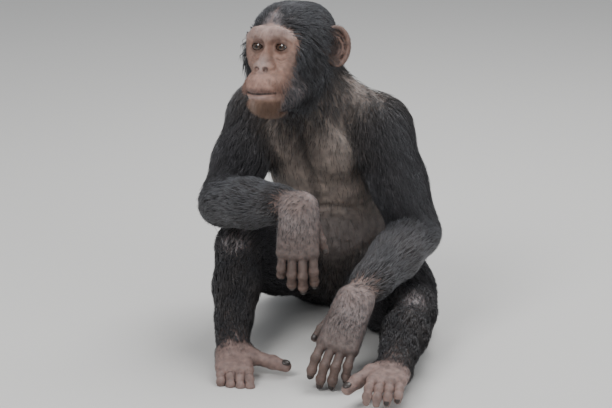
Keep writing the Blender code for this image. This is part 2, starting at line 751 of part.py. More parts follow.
def apply_modifiers(made):
    depsgraph = bpy.context.evaluated_depsgraph_get()
    old = made.data
    made.data = bpy.data.meshes.new_from_object(made.evaluated_get(depsgraph))
    made.modifiers.clear()
    bpy.data.meshes.remove(old)


def corners_of(made):
    points = np.empty(len(made.data.vertices) * 3)
    made.data.vertices.foreach_get("co", points)
    return points.reshape(-1, 3)


def fused(whole_body):
    """One closed skin round all the flesh."""
    bm = bmesh.new()
    for piece in whole_body.flesh.values():
        for shape in piece.shapes:
            shape.fill(bm)
    for lid in whole_body.lids:
        lid.fill(bm)
    whole = plain_object("whole", bm)
    for voxel, steps in FUSE_PASSES:
        remesh = whole.modifiers.new("fuse", "REMESH")
        remesh.mode = "VOXEL"
        remesh.voxel_size = voxel
        ease = whole.modifiers.new("ease", "SMOOTH")
        ease.factor = 0.5
        ease.iterations = 1
        apply_modifiers(whole)
        points = settle(corners_of(whole), whole_body.distance, steps, most=voxel)
        whole.data.vertices.foreach_set("co", points.ravel())
    return whole


def kind_of(name):
    """The last word of a piece's name, which the tables use."""
    return name.split("_")[-1]


def head_frame(points):
    """Points in the head's own frame."""
    return (points - np.array(HEAD)) @ np.array(HEAD_AXES)


def split_near(whole, spots):
    """Splits the edges within reach of each spot on the head, so that its lines have corners enough."""
    local = head_frame(corners_of(whole))
    near = np.zeros(len(local), dtype=bool)
    for spot, reach in spots:
        near |= np.linalg.norm(local - np.array(spot), axis=1) < reach
    bm = bmesh.new()
    bm.from_mesh(whole.data)
    edges = [edge for edge in bm.edges if near[edge.verts[0].index] and near[edge.verts[1].index]]
    bmesh.ops.subdivide_edges(bm, edges=edges, cuts=1, use_grid_fill=True)
    bmesh.ops.triangulate(bm, faces=[face for face in bm.faces if len(face.verts) > 3])
    bm.to_mesh(whole.data)
    bm.free()


def sink_core(whole, whole_body):
    """Draws the skin of the haired pieces in from the tips of the coat to its core; the face stays."""
    points = corners_of(whole)
    distances = np.stack([piece.distance(points) for piece in whole_body.flesh.values()], axis=1)
    weight = np.exp((distances.min(axis=1, keepdims=True) - distances) / CORE_BLEND)
    depths = np.array([CORE_DEPTH.get(kind_of(name), 0.0) for name in whole_body.flesh])
    depth = weight @ depths / weight.sum(axis=1)
    depth *= np.clip(head_frame(points)[:, 1] / FACE_EDGE + 3, 0, 1)
    points = settle(points, lambda some: whole_body.distance(some) + depth, SINK_STEPS)
    whole.data.vertices.foreach_set("co", points.ravel())


def thin_out(whole, whole_body):
    """Fewer triangles, with most of them kept on the face, the ears, the hands and the feet."""
    points = corners_of(whole)
    names = list(whole_body.flesh)
    fine = [FINE_SHARE.get(kind_of(name), 0.0) for name in names]
    weight = np.array(fine)[whole_body.owners(points)]
    face = (points - np.array(HEAD)) @ np.array(HEAD_AXES)
    for spot, reach in FINE_SPOTS:
        weight = np.where(np.linalg.norm(face - np.array(spot), axis=1) < reach, 1.0, weight)
    group = whole.vertex_groups.new(name="coarse")
    for level in np.unique(weight):
        group.add(np.flatnonzero(weight == level).tolist(), 1 - level * 0.9, "REPLACE")
    triangles = sum(len(face.vertices) - 2 for face in whole.data.polygons)
    thin = whole.modifiers.new("thin out", "DECIMATE")
    thin.ratio = BODY_TRIANGLES / triangles
    thin.use_collapse_triangulate = True
    thin.vertex_group = "coarse"
    thin.vertex_group_factor = COARSEST
    apply_modifiers(whole)
    whole.vertex_groups.clear()


def cut_away(made, cutter, solver="MANIFOLD"):
    """Takes a cutter out of an object, and removes the cutter."""
    boolean = made.modifiers.new("cut", "BOOLEAN")
    boolean.operation = "DIFFERENCE"
    boolean.solver = solver
    boolean.object = cutter
    apply_modifiers(made)
    bpy.data.objects.remove(cutter)


def below_floor():
    bm = bmesh.new()
    place = Matrix.Translation((0, 0, -FLOOR_DEPTH / 2)) @ Matrix.Diagonal((3, 3, FLOOR_DEPTH, 1))
    bmesh.ops.create_cube(bm, size=1, matrix=place)
    return plain_object("below floor", bm)


def ellipsoid(name, centre, radii, turn):
    bm = bmesh.new()
    place = Matrix.Translation(centre) @ turn.to_4x4() @ Matrix.Diagonal((*radii, 1))
    bmesh.ops.create_uvsphere(bm, u_segments=16, v_segments=9, radius=1, matrix=place)
    return plain_object(name, bm)


def eye_place(side):
    x, y, z = EYE_PLACE
    return on_head(SIDES[side] * x, y, z)


def open_eyes(whole):
    """Takes the eyeball's room out of each socket, and an almond with pointed corners out of the lids."""
    for side in SIDES:
        socket = (EYE_RADIUS + GAP,) * 3
        cut_away(whole, ellipsoid("socket", eye_place(side), socket, HEAD_AXES))
        almond = ellipsoid("almond", (0, 0, 0), EYE_OPENING, Matrix.Identity(3))
        front = eye_place(side) + HEAD_AXES @ Vector((0, -EYE_RADIUS, 0))
        for vert in almond.data.vertices:
            vert.co.z *= 1 - ALMOND_PINCH * (vert.co.x / EYE_OPENING[0]) ** 2
            vert.co = front + HEAD_AXES @ vert.co
        cut_away(whole, almond)


def plate(centre, normal, wide, half_width, half_height, sides=14):
    """A thin oval cutter square to its normal, its width along the wide direction; 4 sides make a slab."""
    normal = Vector(normal).normalized()
    wide = (Vector(wide) - normal * normal.dot(Vector(wide))).normalized()
    turn = axes(wide, normal.cross(wide), normal).to_4x4()
    place = Matrix.Translation(centre) @ turn @ Matrix.Diagonal((half_width, half_height, 1, 1))
    if sides == 4:
        out_to_corners = Matrix.Diagonal((math.sqrt(2), math.sqrt(2), 1, 1))
        place = place @ Matrix.Rotation(math.radians(45), 4, "Z") @ out_to_corners
    bm = bmesh.new()
    bmesh.ops.create_cone(bm, cap_ends=True, segments=sides, radius1=1, radius2=1, depth=GAP, matrix=place)
    return plain_object("plate", bm)


def bend_cut(before, joint, after, radius, stretch=1.0):
    """A plate through a joint, half way between the two lengths that meet there."""
    first = (joint - before).normalized()
    last = (after - joint).normalized()
    return plate(joint, first + last, last - first, radius * stretch, radius)


def limb_names(side, part):
    """An arm or a leg, down to its tips."""
    if part == "arm":
        small = [f"{name}_finger" for name in FINGERS]
        return [f"{side}_{name}" for name in ("upper_arm", "forearm", "hand", "thumb", *small)]
    small = [f"{name}_toe" for name in TOES]
    return [f"{side}_{name}" for name in ("thigh", "shin", "foot", "big_toe", *small)]


def least(whole_body, names, points):
    return np.min([whole_body.flesh[name].distance(points) for name in names], axis=0)


def divide(whole, whole_body, owners, inner, outer, beyond, margin, bow=0.06):
    """A thin bowed cutter half way between the flesh beyond a joint and all the rest.

    It spans the line where the inner and the outer flesh meet on the skin.
    """
    names = list(whole_body.flesh)
    edges = np.empty(len(whole.data.edges) * 2, dtype=int)
    whole.data.edges.foreach_get("vertices", edges)
    edges = edges.reshape(-1, 2)
    held = [np.isin(owners, [names.index(name) for name in group])[edges] for group in (inner, outer)]
    across = (held[0][:, 0] & held[1][:, 1]) | (held[1][:, 0] & held[0][:, 1])
    line = corners_of(whole)[edges[across]].mean(axis=1)
    centre = line.mean(axis=0)
    wide, high, normal = np.linalg.svd(line - centre, full_matrices=False)[2]
    rest = [name for name in names if name not in beyond]

    def lean(points):
        return least(whole_body, rest, points) - least(whole_body, beyond, points)

    tips = np.array([centre - normal * 0.02, centre + normal * 0.02])
    if np.diff(lean(tips))[0] < 0:
        normal = -normal
    flat = (line - centre) @ np.array([wide, high]).T
    centre = centre + (flat.max(axis=0) + flat.min(axis=0)) / 2 @ np.array([wide, high])
    half = (flat.max(axis=0) - flat.min(axis=0)) / 2 + margin
    flat = (line - centre) @ np.array([wide, high]).T
    half *= max(1.0, np.linalg.norm(flat / (half - margin / 2), axis=1).max())
    turns = np.linspace(0, 2 * math.pi, PLATE_SPOKES, endpoint=False)
    spread = [(0.0, 0.0)] + [
        (ring / PLATE_RINGS * math.cos(turn) * half[0], ring / PLATE_RINGS * math.sin(turn) * half[1])
        for ring in range(1, PLATE_RINGS + 1) for turn in turns
    ]
    level = centre + np.array(spread) @ np.array([wide, high])
    rise = np.zeros(len(level))
    for _ in range(30):
        rise -= 0.4 * lean(level + np.outer(rise, normal))
        rise = np.clip(rise, -bow, bow)
    return bowed_plate(level, rise, normal)


def bowed_plate(level, rise, normal):
    """A closed sheet from rings of points on a plane, each raised along the plane's normal."""
    inward = np.arange(len(level)) - PLATE_SPOKES
    inward[: 1 + PLATE_SPOKES] = 0
    around = list(np.arange(1, len(level)).reshape(PLATE_RINGS, PLATE_SPOKES))
    for _ in range(2):
        eased = rise.copy()
        for row in around:
            eased[row] = (2 * rise[row] + rise[np.roll(row, 1)] + rise[np.roll(row, -1)]) / 4
        for row in around[:-1]:
            eased[row] = (2 * eased[row] + rise[inward[row]] + rise[row + PLATE_SPOKES]) / 4
        eased[0] = rise[around[0]].mean()
        rise = eased
    run = np.linalg.norm(level - level[inward], axis=1)
    slope = np.abs(rise - rise[inward]) / np.maximum(run, 1e-6)
    thick = GAP / 2 * np.minimum(np.sqrt(1 + slope**2), MOST_STRETCH)
    bm = bmesh.new()
    raised = [level + np.outer(rise + way * thick, normal) for way in (1, -1)]
    sheets = [[bm.verts.new(point) for point in points] for points in raised]
    for verts, way in zip(sheets, (1, -1)):
        for spoke in range(PLATE_SPOKES):
            after = (spoke + 1) % PLATE_SPOKES
            bm.faces.new((verts[0], verts[1 + spoke], verts[1 + after])[::way])
            for row, next_row in zip(around, around[1:]):
                bm.faces.new((verts[row[spoke]], verts[next_row[spoke]], verts[next_row[after]])[::way])
                bm.faces.new((verts[row[spoke]], verts[next_row[after]], verts[row[after]])[::way])
    rim = around[-1]
    for here, after in zip(rim, np.roll(rim, -1)):
        bm.faces.new((sheets[1][here], sheets[1][after], sheets[0][after], sheets[0][here]))
    bmesh.ops.recalc_face_normals(bm, faces=bm.faces)
    return plain_object("bowed plate", bm)


def trunk_cuts(whole, whole_body):
    owners = whole_body.owners(corners_of(whole))
    arms = {side: limb_names(side, "arm") for side in SIDES}
    legs = {side: limb_names(side, "leg") for side in SIDES}
    skull = ["head", "left_ear", "right_ear"]
    meetings = [(["neck"], ["head"], skull, 0.010)]
    for side in SIDES:
        ear, hand, foot = side + "_ear", side + "_hand", side + "_foot"
        meetings += [
            (["torso", "neck"], [side + "_upper_arm"], arms[side], 0.008),
            (["torso"], [side + "_thigh"], legs[side], 0.008),
            (["head", "neck"], [ear], [ear], 0.006, 0.014),
            ([hand], [side + "_thumb"], [side + "_thumb"], 0.005, 0.014),
            ([foot], [side + "_big_toe"], [side + "_big_toe"], 0.005, 0.014),
        ]
    neck_root = plate(NECK_ROOT, NECK - COLLAR, (1, 0, 0), *NECK_PLATE, sides=24)
    return [neck_root] + [divide(whole, whole_body, owners, *meeting) for meeting in meetings]


def limb_cuts(side):
    shoulder, elbow, wrist = SHOULDER[side], ELBOW[side], WRIST[side]
    hip, knee, ankle = HIP[side], KNEE[side], ANKLE[side]
    return [
        bend_cut(shoulder, elbow, wrist, 0.043, 1.4),
        bend_cut(elbow, wrist, KNUCKLES[side], 0.038, 1.15),
        bend_cut(hip, knee, ankle, 0.048, 1.2),
        bend_cut(knee, ankle, BALL[side], 0.040, 1.7),
    ]


def digit_cuts(side):
    """Slabs between the fingers and the toes, then cuts across their roots."""
    cuts = []
    along, across, back = frame_of(side, "hand")
    reach = FINGER_LENGTHS["middle"]
    for place in (-1, 0, 1):
        middle = knuckle_of(side, place) + along * (reach / 2 + 0.002) - back * 0.014
        cuts.append(plate(middle, across + along * (-0.03 * place), along, reach / 2, 0.034, sides=4))
    middle = KNUCKLES[side] + along * 0.0065 + back * 0.001
    cuts.append(plate(middle, along, across, FINGER_SPACING * 2.15, 0.015, sides=4))
    along, across, back = frame_of(side, "foot")
    reach = TOE_LENGTHS["third"]
    for place in (-1, 0, 1):
        middle = toe_root(side, place) + along * (reach / 2 + 0.004) - back * 0.008
        cuts.append(plate(middle, across + along * (-0.03 * place), along, reach / 2, 0.026, sides=4))
    row = toe_root(side, 1.5) - toe_root(side, -1.5)
    middle = toe_root(side, -0.25) + along * 0.005
    cuts.append(plate(middle, row.cross(back), row, TOE_SPACING * 2.45, 0.0135, sides=4))
    return cuts


def loose_parts(made):
    """The separate closed surfaces of an object, each as a list of face indices."""
    bm = bmesh.new()
    bm.from_mesh(made.data)
    bm.faces.ensure_lookup_table()
    seen = set()
    parts = []
    for face in bm.faces:
        if face.index in seen:
            continue
        seen.add(face.index)
        waiting = [face]
        part = []
        while waiting:
            here = waiting.pop()
            part.append(here.index)
            for edge in here.edges:
                for other in edge.link_faces:
                    if other.index not in seen:
                        seen.add(other.index)
                        waiting.append(other)
        parts.append(part)
    bm.free()
    return parts


def part_out(whole, whole_body):
    """Makes an object of each closed surface, named after its flesh; the largest of each name stays."""
    names = list(whole_body.flesh)
    best = {}
    for part in loose_parts(whole):
        bm = bmesh.new()
        bm.from_mesh(whole.data)
        keep = set(part)
        bmesh.ops.delete(bm, geom=[face for face in bm.faces if face.index not in keep], context="FACES")
        volume = bm.calc_volume()
        points = np.array([face.calc_center_median() for face in bm.faces])
        area = np.array([face.calc_area() for face in bm.faces])
        owners = whole_body.owners(points)
        votes = np.bincount(owners, weights=area, minlength=len(names))
        name = names[votes.argmax()]
        print(f"part {name:24s} {len(part):6d} faces {volume * 1e6:9.2f} cm3")
        if name in best and best[name][0] >= volume:
            bm.free()
            continue
        if name in best:
            best[name][1].free()
        best[name] = (volume, bm)
    bpy.data.objects.remove(whole)
    nodes = {name: plain_object(name, bm) for name, (_, bm) in best.items()}
    trim(nodes)
    return nodes


def trim(nodes):
    """Takes the slivers that the cuts left out of the larger limbs' skin, and leaves their cut faces."""
    depsgraph = bpy.context.evaluated_depsgraph_get()
    trees = {name: BVHTree.FromObject(made, depsgraph) for name, made in nodes.items()}
    for name, made in nodes.items():
        if kind_of(name) not in TRIMMED:
            continue
        others = [tree for other, tree in trees.items() if other != name]
        free = [
            vert.index for vert in made.data.vertices
            if all(tree.find_nearest(vert.co, CAP_REACH)[0] is None for tree in others)
        ]
        made.vertex_groups.new(name="skin").add(free, 1, "REPLACE")
        thin = made.modifiers.new("trim", "DECIMATE")
        thin.ratio = TRIM_RATIO
        thin.vertex_group = "skin"
        thin.vertex_group_factor = 1.0
    for made in nodes.values():
        untrimmed = made.data.copy()
        apply_modifiers(made)
        made.vertex_groups.clear()
        bm = bmesh.new()
        bm.from_mesh(made.data)
        closed = all(edge.is_manifold for edge in bm.edges)
        bm.free()
        if not closed or len(loose_parts(made)) > 1:
            print("kept untrimmed:", made.name)
            made.data = untrimmed


def lie_at(name, points):
    """The way the hair lies on a piece: along the limbs, down the trunk, and back and down over the head."""
    side, kind = name.split("_")[0], kind_of(name)
    ends = {"arm": (SHOULDER, ELBOW), "forearm": (WRIST, ELBOW), "thigh": (HIP, KNEE), "shin": (KNEE, ANKLE)}
    if kind in ends:
        start, end = ends[kind]
        return np.tile(np.array((end[side] - start[side]).normalized()), (len(points), 1))
    if kind == "head":
        return np.tile(np.array((HEAD_AXES @ Vector((0, 0.6, -1))).normalized()), (len(points), 1))
    return np.tile(np.array(Vector((0, 0.15, -1)).normalized()), (len(points), 1))


def haired(name, points):
    """Where long hair grows: not on the crown and the face, the chest, the belly and the kneecaps."""
    if kind_of(name) == "head":
        local = head_frame(points)
        return (local[:, 1] > HAIR_FRONT) & (local[:, 2] < HAIR_CROWN)
    height = points[:, 2]
    if name == "torso":
        front, slant, level = BACK_LINE
        return (points[:, 1] > front + slant * (level - height)) & (height > LOWEST_ROOT["torso"])
    clear = height > LOWEST_ROOT["limb"]
    offset, reach = KNEECAP
    for side in SIDES:
        clear &= np.linalg.norm(points - np.array(KNEE[side] + offset), axis=1) > reach
    return clear


def lock_lines(name, made, whole_body, rng):
    """Candidate locks on a node: for each, points along its middle and the way out of the coat at each."""
    count, length, _, stand = LOCKS[kind_of(name)]
    area = np.array([face.area for face in made.data.polygons])
    normals = np.array([face.normal for face in made.data.polygons])
    centres = np.array([face.center for face in made.data.polygons])
    chance = area * haired(name, centres)
    if chance.sum() == 0:
        return []
    picked = rng.choice(len(area), count * CANDIDATES_PER_LOCK, p=chance / chance.sum())
    roots, out = centres[picked], normals[picked]
    roots = roots + rng.normal(0, ROOT_SCATTER, roots.shape)
    lie = lie_at(name, roots) + rng.normal(0, LIE_SCATTER, roots.shape)
    lie -= (lie * out).sum(axis=1, keepdims=True) * out
    lie /= np.maximum(np.linalg.norm(lie, axis=1, keepdims=True), 1e-6)
    lengths = length * rng.uniform(*LENGTH_RANGE, len(roots))
    lines, outs = [], []
    for station, rise in zip(LOCK_STATIONS, LOCK_RISES):
        on_skin = settle(roots + lie * (lengths * station)[:, None], whole_body.distance, 3)
        slope = np.stack([whole_body.distance(on_skin + shift) - whole_body.distance(on_skin - shift)
                          for shift in np.eye(3) * 0.001], axis=1)
        slope /= np.maximum(np.linalg.norm(slope, axis=1, keepdims=True), 1e-9)
        core = CORE_DEPTH[kind_of(name)]
        lines.append(on_skin + slope * (stand * rise - core))
        outs.append(slope)
    return list(zip(np.stack(lines, axis=1), np.stack(outs, axis=1)))


def lock_mesh(line, outs, half_width, thickness=LOCK_THICKNESS):
    """A flat, tapered lock along a line, with a low ridge down its outside."""
    bm = bmesh.new()
    rings = []
    along = line[-1] - line[0]
    for centre, out, share in zip(line, outs, LOCK_WIDTHS):
        side = np.cross(out, along)
        side *= half_width * share / np.linalg.norm(side)
        rings.append([bm.verts.new(Vector(centre + step)) for step in (side, out * thickness, -side)])
    tip = bm.verts.new(Vector(line[-1]))
    bm.faces.new(rings[0])
    for lower, upper in zip(rings, rings[1:]):
        for here in range(3):
            after = (here + 1) % 3
            bm.faces.new((lower[here], lower[after], upper[after]))
            bm.faces.new((lower[here], upper[after], upper[here]))
    for here in range(3):
        bm.faces.new((rings[-1][here], rings[-1][(here + 1) % 3], tip))
    bmesh.ops.recalc_face_normals(bm, faces=bm.faces)
    return bm


def clear_of(line, outs, half_width, others):
    """Whether a lock is outside other nodes and their locks by the clearance, and above the floor."""
    bm = lock_mesh(line, outs, half_width + LOCK_CLEARANCE, LOCK_THICKNESS + LOCK_CLEARANCE)
    fat = BVHTree.FromBMesh(bm)
    corners = [vert.co.copy() for vert in bm.verts]
    corners += [edge.verts[0].co.lerp(edge.verts[1].co, 0.5) for edge in bm.edges]
    bm.free()
    if min(corner.z for corner in corners) < LOCK_CLEARANCE or any(fat.overlap(tree) for tree in others):
        return False
    for tree in others:
        for corner in corners:
            spot, normal, _, away = tree.find_nearest(corner, 0.03)
            if spot is not None and (away < LOCK_CLEARANCE or (corner - spot).dot(normal) < 0):
                return False
    return True


def add_locks(nodes, whole_body):
    """Grows locks on the haired nodes, evenly spread and clear of every other node, and joins them on."""
    rng = np.random.default_rng(SEED)
    depsgraph = bpy.context.evaluated_depsgraph_get()
    trees = {name: BVHTree.FromObject(made, depsgraph) for name, made in nodes.items()}
    taken = []
    for name, made in nodes.items():
        if kind_of(name) not in LOCKS:
            continue
        count, _, half_width, _ = LOCKS[kind_of(name)]
        others = [tree for other, tree in trees.items() if other != name] + taken
        fitting = [
            (line, outs) for line, outs in lock_lines(name, made, whole_body, rng)
            if clear_of(line, outs, half_width, others)
        ]
        locks = bpy.data.collections.new(name + " locks")
        bpy.context.scene.collection.children.link(locks)
        for index in spread_out([line[0] for line, _ in fitting], count):
            bm = lock_mesh(*fitting[index], half_width)
            taken.append(BVHTree.FromBMesh(bm))
            lock = plain_object("lock", bm)
            bpy.context.scene.collection.objects.unlink(lock)
            locks.objects.link(lock)
        print(f"{name}: {len(locks.objects)} locks of {len(fitting)} that fit")
        join_all(made, locks)


def spread_out(roots, count):
    """The indices of up to count roots, each the farthest from those chosen before it."""
    roots = np.array(roots)
    if len(roots) <= count:
        return list(range(len(roots)))
    chosen = [0]
    away = np.linalg.norm(roots - roots[0], axis=1)
    while len(chosen) < count:
        chosen.append(int(away.argmax()))
        away = np.minimum(away, np.linalg.norm(roots - roots[chosen[-1]], axis=1))
    return chosen


def join_all(made, pieces):
    """Joins a collection of closed pieces onto an object, and removes them."""
    if not pieces.objects:
        return
    union = made.modifiers.new("join", "BOOLEAN")
    union.operation = "UNION"
    union.operand_type = "COLLECTION"
    union.solver = "MANIFOLD"
    union.collection = pieces
    apply_modifiers(made)
    for piece in list(pieces.objects):
        bpy.data.objects.remove(piece)
    bpy.data.collections.remove(pieces)
    keep_largest(made)


def keep_largest(made):
    """Leaves only the closed surface of an object that has the most faces."""
    parts = loose_parts(made)
    if len(parts) < 2:
        return
    keep = set(max(parts, key=len))
    bm = bmesh.new()
    bm.from_mesh(made.data)
    bmesh.ops.delete(bm, geom=[face for face in bm.faces if face.index not in keep], context="FACES")
    bm.to_mesh(made.data)
    bm.free()


def skin_material(name, colour, roughness):
    material = bpy.data.materials.new(name)
    material.use_nodes = True
    shader = material.node_tree.nodes["Principled BSDF"]
    shader.inputs["Base Color"].default_value = (*colour, 1)
    shader.inputs["Roughness"].default_value = roughness
    shader.inputs["Metallic"].default_value = 0.0
    return material


def colour_of(name):
    return COLOURS.get(name, COLOURS.get(kind_of(name), COLOURS["coat"]))


def main():
    for old in list(bpy.data.objects):
        bpy.data.objects.remove(old)
    whole_body = body()
    whole = fused(whole_body)
    split_near(whole, FINE_SPOTS)
    sink_core(whole, whole_body)
    thin_out(whole, whole_body)
    cut_away(whole, below_floor())
    open_eyes(whole)
    cuts = trunk_cuts(whole, whole_body)
    for side in SIDES:
        cuts += limb_cuts(side) + digit_cuts(side)
    for cutter in cuts:
        cut_away(whole, cutter)
    nodes = part_out(whole, whole_body)
    add_locks(nodes, whole_body)
    for side in SIDES:
        nodes[side + "_eye"] = ellipsoid(side + "_eye", eye_place(side), (EYE_RADIUS,) * 3, HEAD_AXES)
    for name, made in nodes.items():
        colour, roughness = colour_of(name)
        made.data.materials.clear()
        made.data.materials.append(skin_material(name, colour, roughness))
        made.data.shade_smooth()
        made.data.set_sharp_from_angle(angle=SHARP_ANGLE)


if __name__ == "__main__":
    main()
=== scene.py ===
# %% [markdown]
# # A young chimpanzee, sitting with its forearms on its knees
#
# This script dresses them. One skin takes the place of all the solids of flesh, so that no seam shows,
# and over it go the coat, the eyes, the nails and the bristles.
#
# Metres, +Z up. The chimpanzee faces -Y, its left side is at +X, and the origin is under its rump.

import copy
import math

import bmesh
import bpy
import numpy as np
from mathutils import Matrix, Vector


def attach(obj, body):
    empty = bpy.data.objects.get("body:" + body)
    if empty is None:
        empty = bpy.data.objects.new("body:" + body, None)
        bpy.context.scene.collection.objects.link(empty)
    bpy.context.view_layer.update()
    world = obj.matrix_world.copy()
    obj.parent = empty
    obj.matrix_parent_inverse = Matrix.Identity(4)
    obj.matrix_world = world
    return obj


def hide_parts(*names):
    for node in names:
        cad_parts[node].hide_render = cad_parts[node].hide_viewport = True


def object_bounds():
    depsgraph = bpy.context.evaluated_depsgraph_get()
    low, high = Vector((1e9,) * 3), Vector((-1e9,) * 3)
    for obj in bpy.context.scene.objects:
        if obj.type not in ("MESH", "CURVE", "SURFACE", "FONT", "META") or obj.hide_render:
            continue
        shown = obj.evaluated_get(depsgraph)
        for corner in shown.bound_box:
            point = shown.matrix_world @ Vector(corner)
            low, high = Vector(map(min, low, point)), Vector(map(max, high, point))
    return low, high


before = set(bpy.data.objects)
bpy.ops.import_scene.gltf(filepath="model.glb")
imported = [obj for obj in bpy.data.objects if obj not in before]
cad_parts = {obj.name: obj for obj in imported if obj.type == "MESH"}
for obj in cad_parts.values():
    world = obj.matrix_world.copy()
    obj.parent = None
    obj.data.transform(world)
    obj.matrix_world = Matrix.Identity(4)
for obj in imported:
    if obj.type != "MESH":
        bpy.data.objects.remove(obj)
cad_low, cad_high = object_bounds()
print("the frame has", len(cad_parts), "nodes")

# %% [markdown]
# ## Shapes that a body is blocked out of
#
# An animal could be sculpted by hand, or built as one long list of points. Here it is described the way a
# sculptor builds an armature and adds clay: tapered limbs and balls, each with a few named sizes. Every
# shape can say how far a point is from its surface, so the same description fills a rough mesh and then
# draws a fine one onto a smooth blend of all the shapes.

# %% Limbs and balls
SIDES = {"right": -1, "left": 1}


def round_points(subdivisions):
    """The corners of a ball of radius 1."""
    bm = bmesh.new()
    bmesh.ops.create_icosphere(bm, subdivisions=subdivisions, radius=1)
    points = [vert.co.copy() for vert in bm.verts]
    bm.free()
    return points


ROUND = round_points(2)


class Limb:
    """A tapered length of flesh between two points. Its section is flat times as deep as wide."""

    def __init__(self, start, end, start_radius, end_radius, flat=1.0, wide=(1, 0, 0), soft=0.012):
        self.start = Vector(start)
        self.end = Vector(end)
        self.radii = (start_radius, end_radius)
        self.flat = flat
        self.soft = soft
        along = (self.end - self.start).normalized()
        self.thin = along.cross(Vector(wide)).normalized()

    def distance(self, points):
        start = np.array(self.start)
        axis = np.array(self.end) - start
        share = np.clip((points - start) @ axis / (axis @ axis), 0, 1)
        away = points - start - share[:, None] * axis
        thin = np.array(self.thin)
        away = away + np.outer(away @ thin * (1 / self.flat - 1), thin)
        radius = self.radii[0] + (self.radii[1] - self.radii[0]) * share
        return np.linalg.norm(away, axis=1) - radius

    def fill(self, bm):
        squash = Matrix.Scale(self.flat, 3, self.thin)
        corners = []
        for centre, radius in zip((self.start, self.end), self.radii):
            corners += [bm.verts.new(centre + squash @ point * radius) for point in ROUND]
        made = bmesh.ops.convex_hull(bm, input=corners)
        inner = [item for item in made["geom_interior"] if isinstance(item, bmesh.types.BMVert)]
        bmesh.ops.delete(bm, geom=inner, context="VERTS")

    def bounds(self):
        return (self.start + self.end) / 2, (self.end - self.start).length / 2 + max(self.radii)


class Ball:
    """An ellipsoid of flesh with its radii along the axes of turn."""

    def __init__(self, centre, radii, turn=None, soft=0.012):
        self.centre = Vector(centre)
        self.radii = Vector(radii)
        self.turn = turn or Matrix.Identity(3)
        self.soft = soft

    def distance(self, points):
        local = (points - np.array(self.centre)) @ np.array(self.turn)
        radii = np.array(self.radii)
        near = np.linalg.norm(local / radii, axis=1)
        slope = np.linalg.norm(local / radii**2, axis=1)
        return near * (near - 1) / np.maximum(slope, 1e-6)

    def fill(self, bm):
        for vert in bmesh.ops.create_icosphere(bm, subdivisions=3, radius=1)["verts"]:
            vert.co = self.centre + self.turn @ Vector(a * b for a, b in zip(vert.co, self.radii))

    def bounds(self):
        return self.centre, max(self.radii)


def smooth_least(first, second, soft):
    """The smaller of two distances, rounded where they meet."""
    soft = np.maximum(soft, 1e-6)
    near = np.maximum(soft - np.abs(first - second), 0) / soft
    return np.minimum(first, second) - near * near * soft / 4


# %% [markdown]
# Shapes that belong together form a piece of flesh. A piece blends into what it grows from near its own
# root only, so that a hand resting near a knee doesn't melt into it. Hollows and strokes press eye
# sockets, nostrils, the mouth and folds into the blend.

# %% Flesh, hollows and strokes


class Flesh:
    """Shapes that blend into one piece, which blends with what it grows from only near its own root."""

    def __init__(self, shapes, root=None, reach=0.0, soft=0.0):
        self.shapes = shapes
        self.root = root
        self.reach = reach
        self.soft = soft
        ends = [shape.bounds() for shape in shapes]
        self.centre = sum((centre for centre, _ in ends), Vector()) / len(ends)
        self.radius = max((centre - self.centre).length + radius for centre, radius in ends)

    def distance(self, points):
        total = self.shapes[0].distance(points)
        for shape in self.shapes[1:]:
            total = smooth_least(total, shape.distance(points), shape.soft)
        return total


class Stroke:
    """A groove along a path, or a ridge where its depth is negative."""

    def __init__(self, path, width, depth):
        self.path = [np.array(point) for point in path]
        self.width = width
        self.depth = depth
        self.centre = sum(self.path) / len(self.path)
        self.radius = max(np.linalg.norm(point - self.centre) for point in self.path) + 3 * width

    def press(self, points):
        away = np.full(len(points), 1.0)
        for start, end in zip(self.path, self.path[1:]):
            axis = end - start
            share = np.clip((points - start) @ axis / (axis @ axis), 0, 1)
            away = np.minimum(away, np.linalg.norm(points - start - share[:, None] * axis, axis=1))
        return self.depth * np.exp(-((away / self.width) ** 2))


class Hollow:
    """An ellipsoid pressed into the body, with a soft edge."""

    def __init__(self, centre, radii, turn, soft):
        self.ball = Ball(centre, radii, turn)
        self.centre = np.array(self.ball.centre)
        self.radius = max(radii) + 0.02
        self.soft = soft

    def carve(self, points, distance):
        return -smooth_least(-distance, self.ball.distance(points), self.soft)


class Body:
    """The whole animal: flesh in the order in which it joins, what is pressed into it, and the lids."""

    def __init__(self, flesh, hollows, lids, strokes):
        self.flesh = flesh
        self.hollows = hollows
        self.lids = lids
        self.strokes = strokes

    def distance(self, points):
        total = np.full(len(points), 1.0)
        for piece in self.flesh.values():
            near = np.linalg.norm(points - np.array(piece.centre), axis=1) < piece.radius + 0.04
            some = points[near]
            soft = piece.soft
            if piece.root is not None:
                far = np.linalg.norm(some - np.array(piece.root), axis=1) / piece.reach
                soft = piece.soft * np.clip(1.5 - far, 0, 1)
            total[near] = smooth_least(total[near], piece.distance(some), soft)
        for hollow in self.hollows:
            near = np.linalg.norm(points - hollow.centre, axis=1) < hollow.radius
            total[near] = hollow.carve(points[near], total[near])
        for lid in self.lids:
            near = np.linalg.norm(points - np.array(lid.centre), axis=1) < max(lid.radii) + 0.01
            total[near] = smooth_least(total[near], lid.distance(points[near]), lid.soft)
        for stroke in self.strokes:
            near = np.linalg.norm(points - stroke.centre, axis=1) < stroke.radius
            total[near] += stroke.press(points[near])
        return total

    def owners(self, points):
        """For each point, the index of the piece of flesh that it lies deepest in."""
        depths = np.stack([piece.distance(points) for piece in self.flesh.values()])
        return depths.argmin(axis=0)


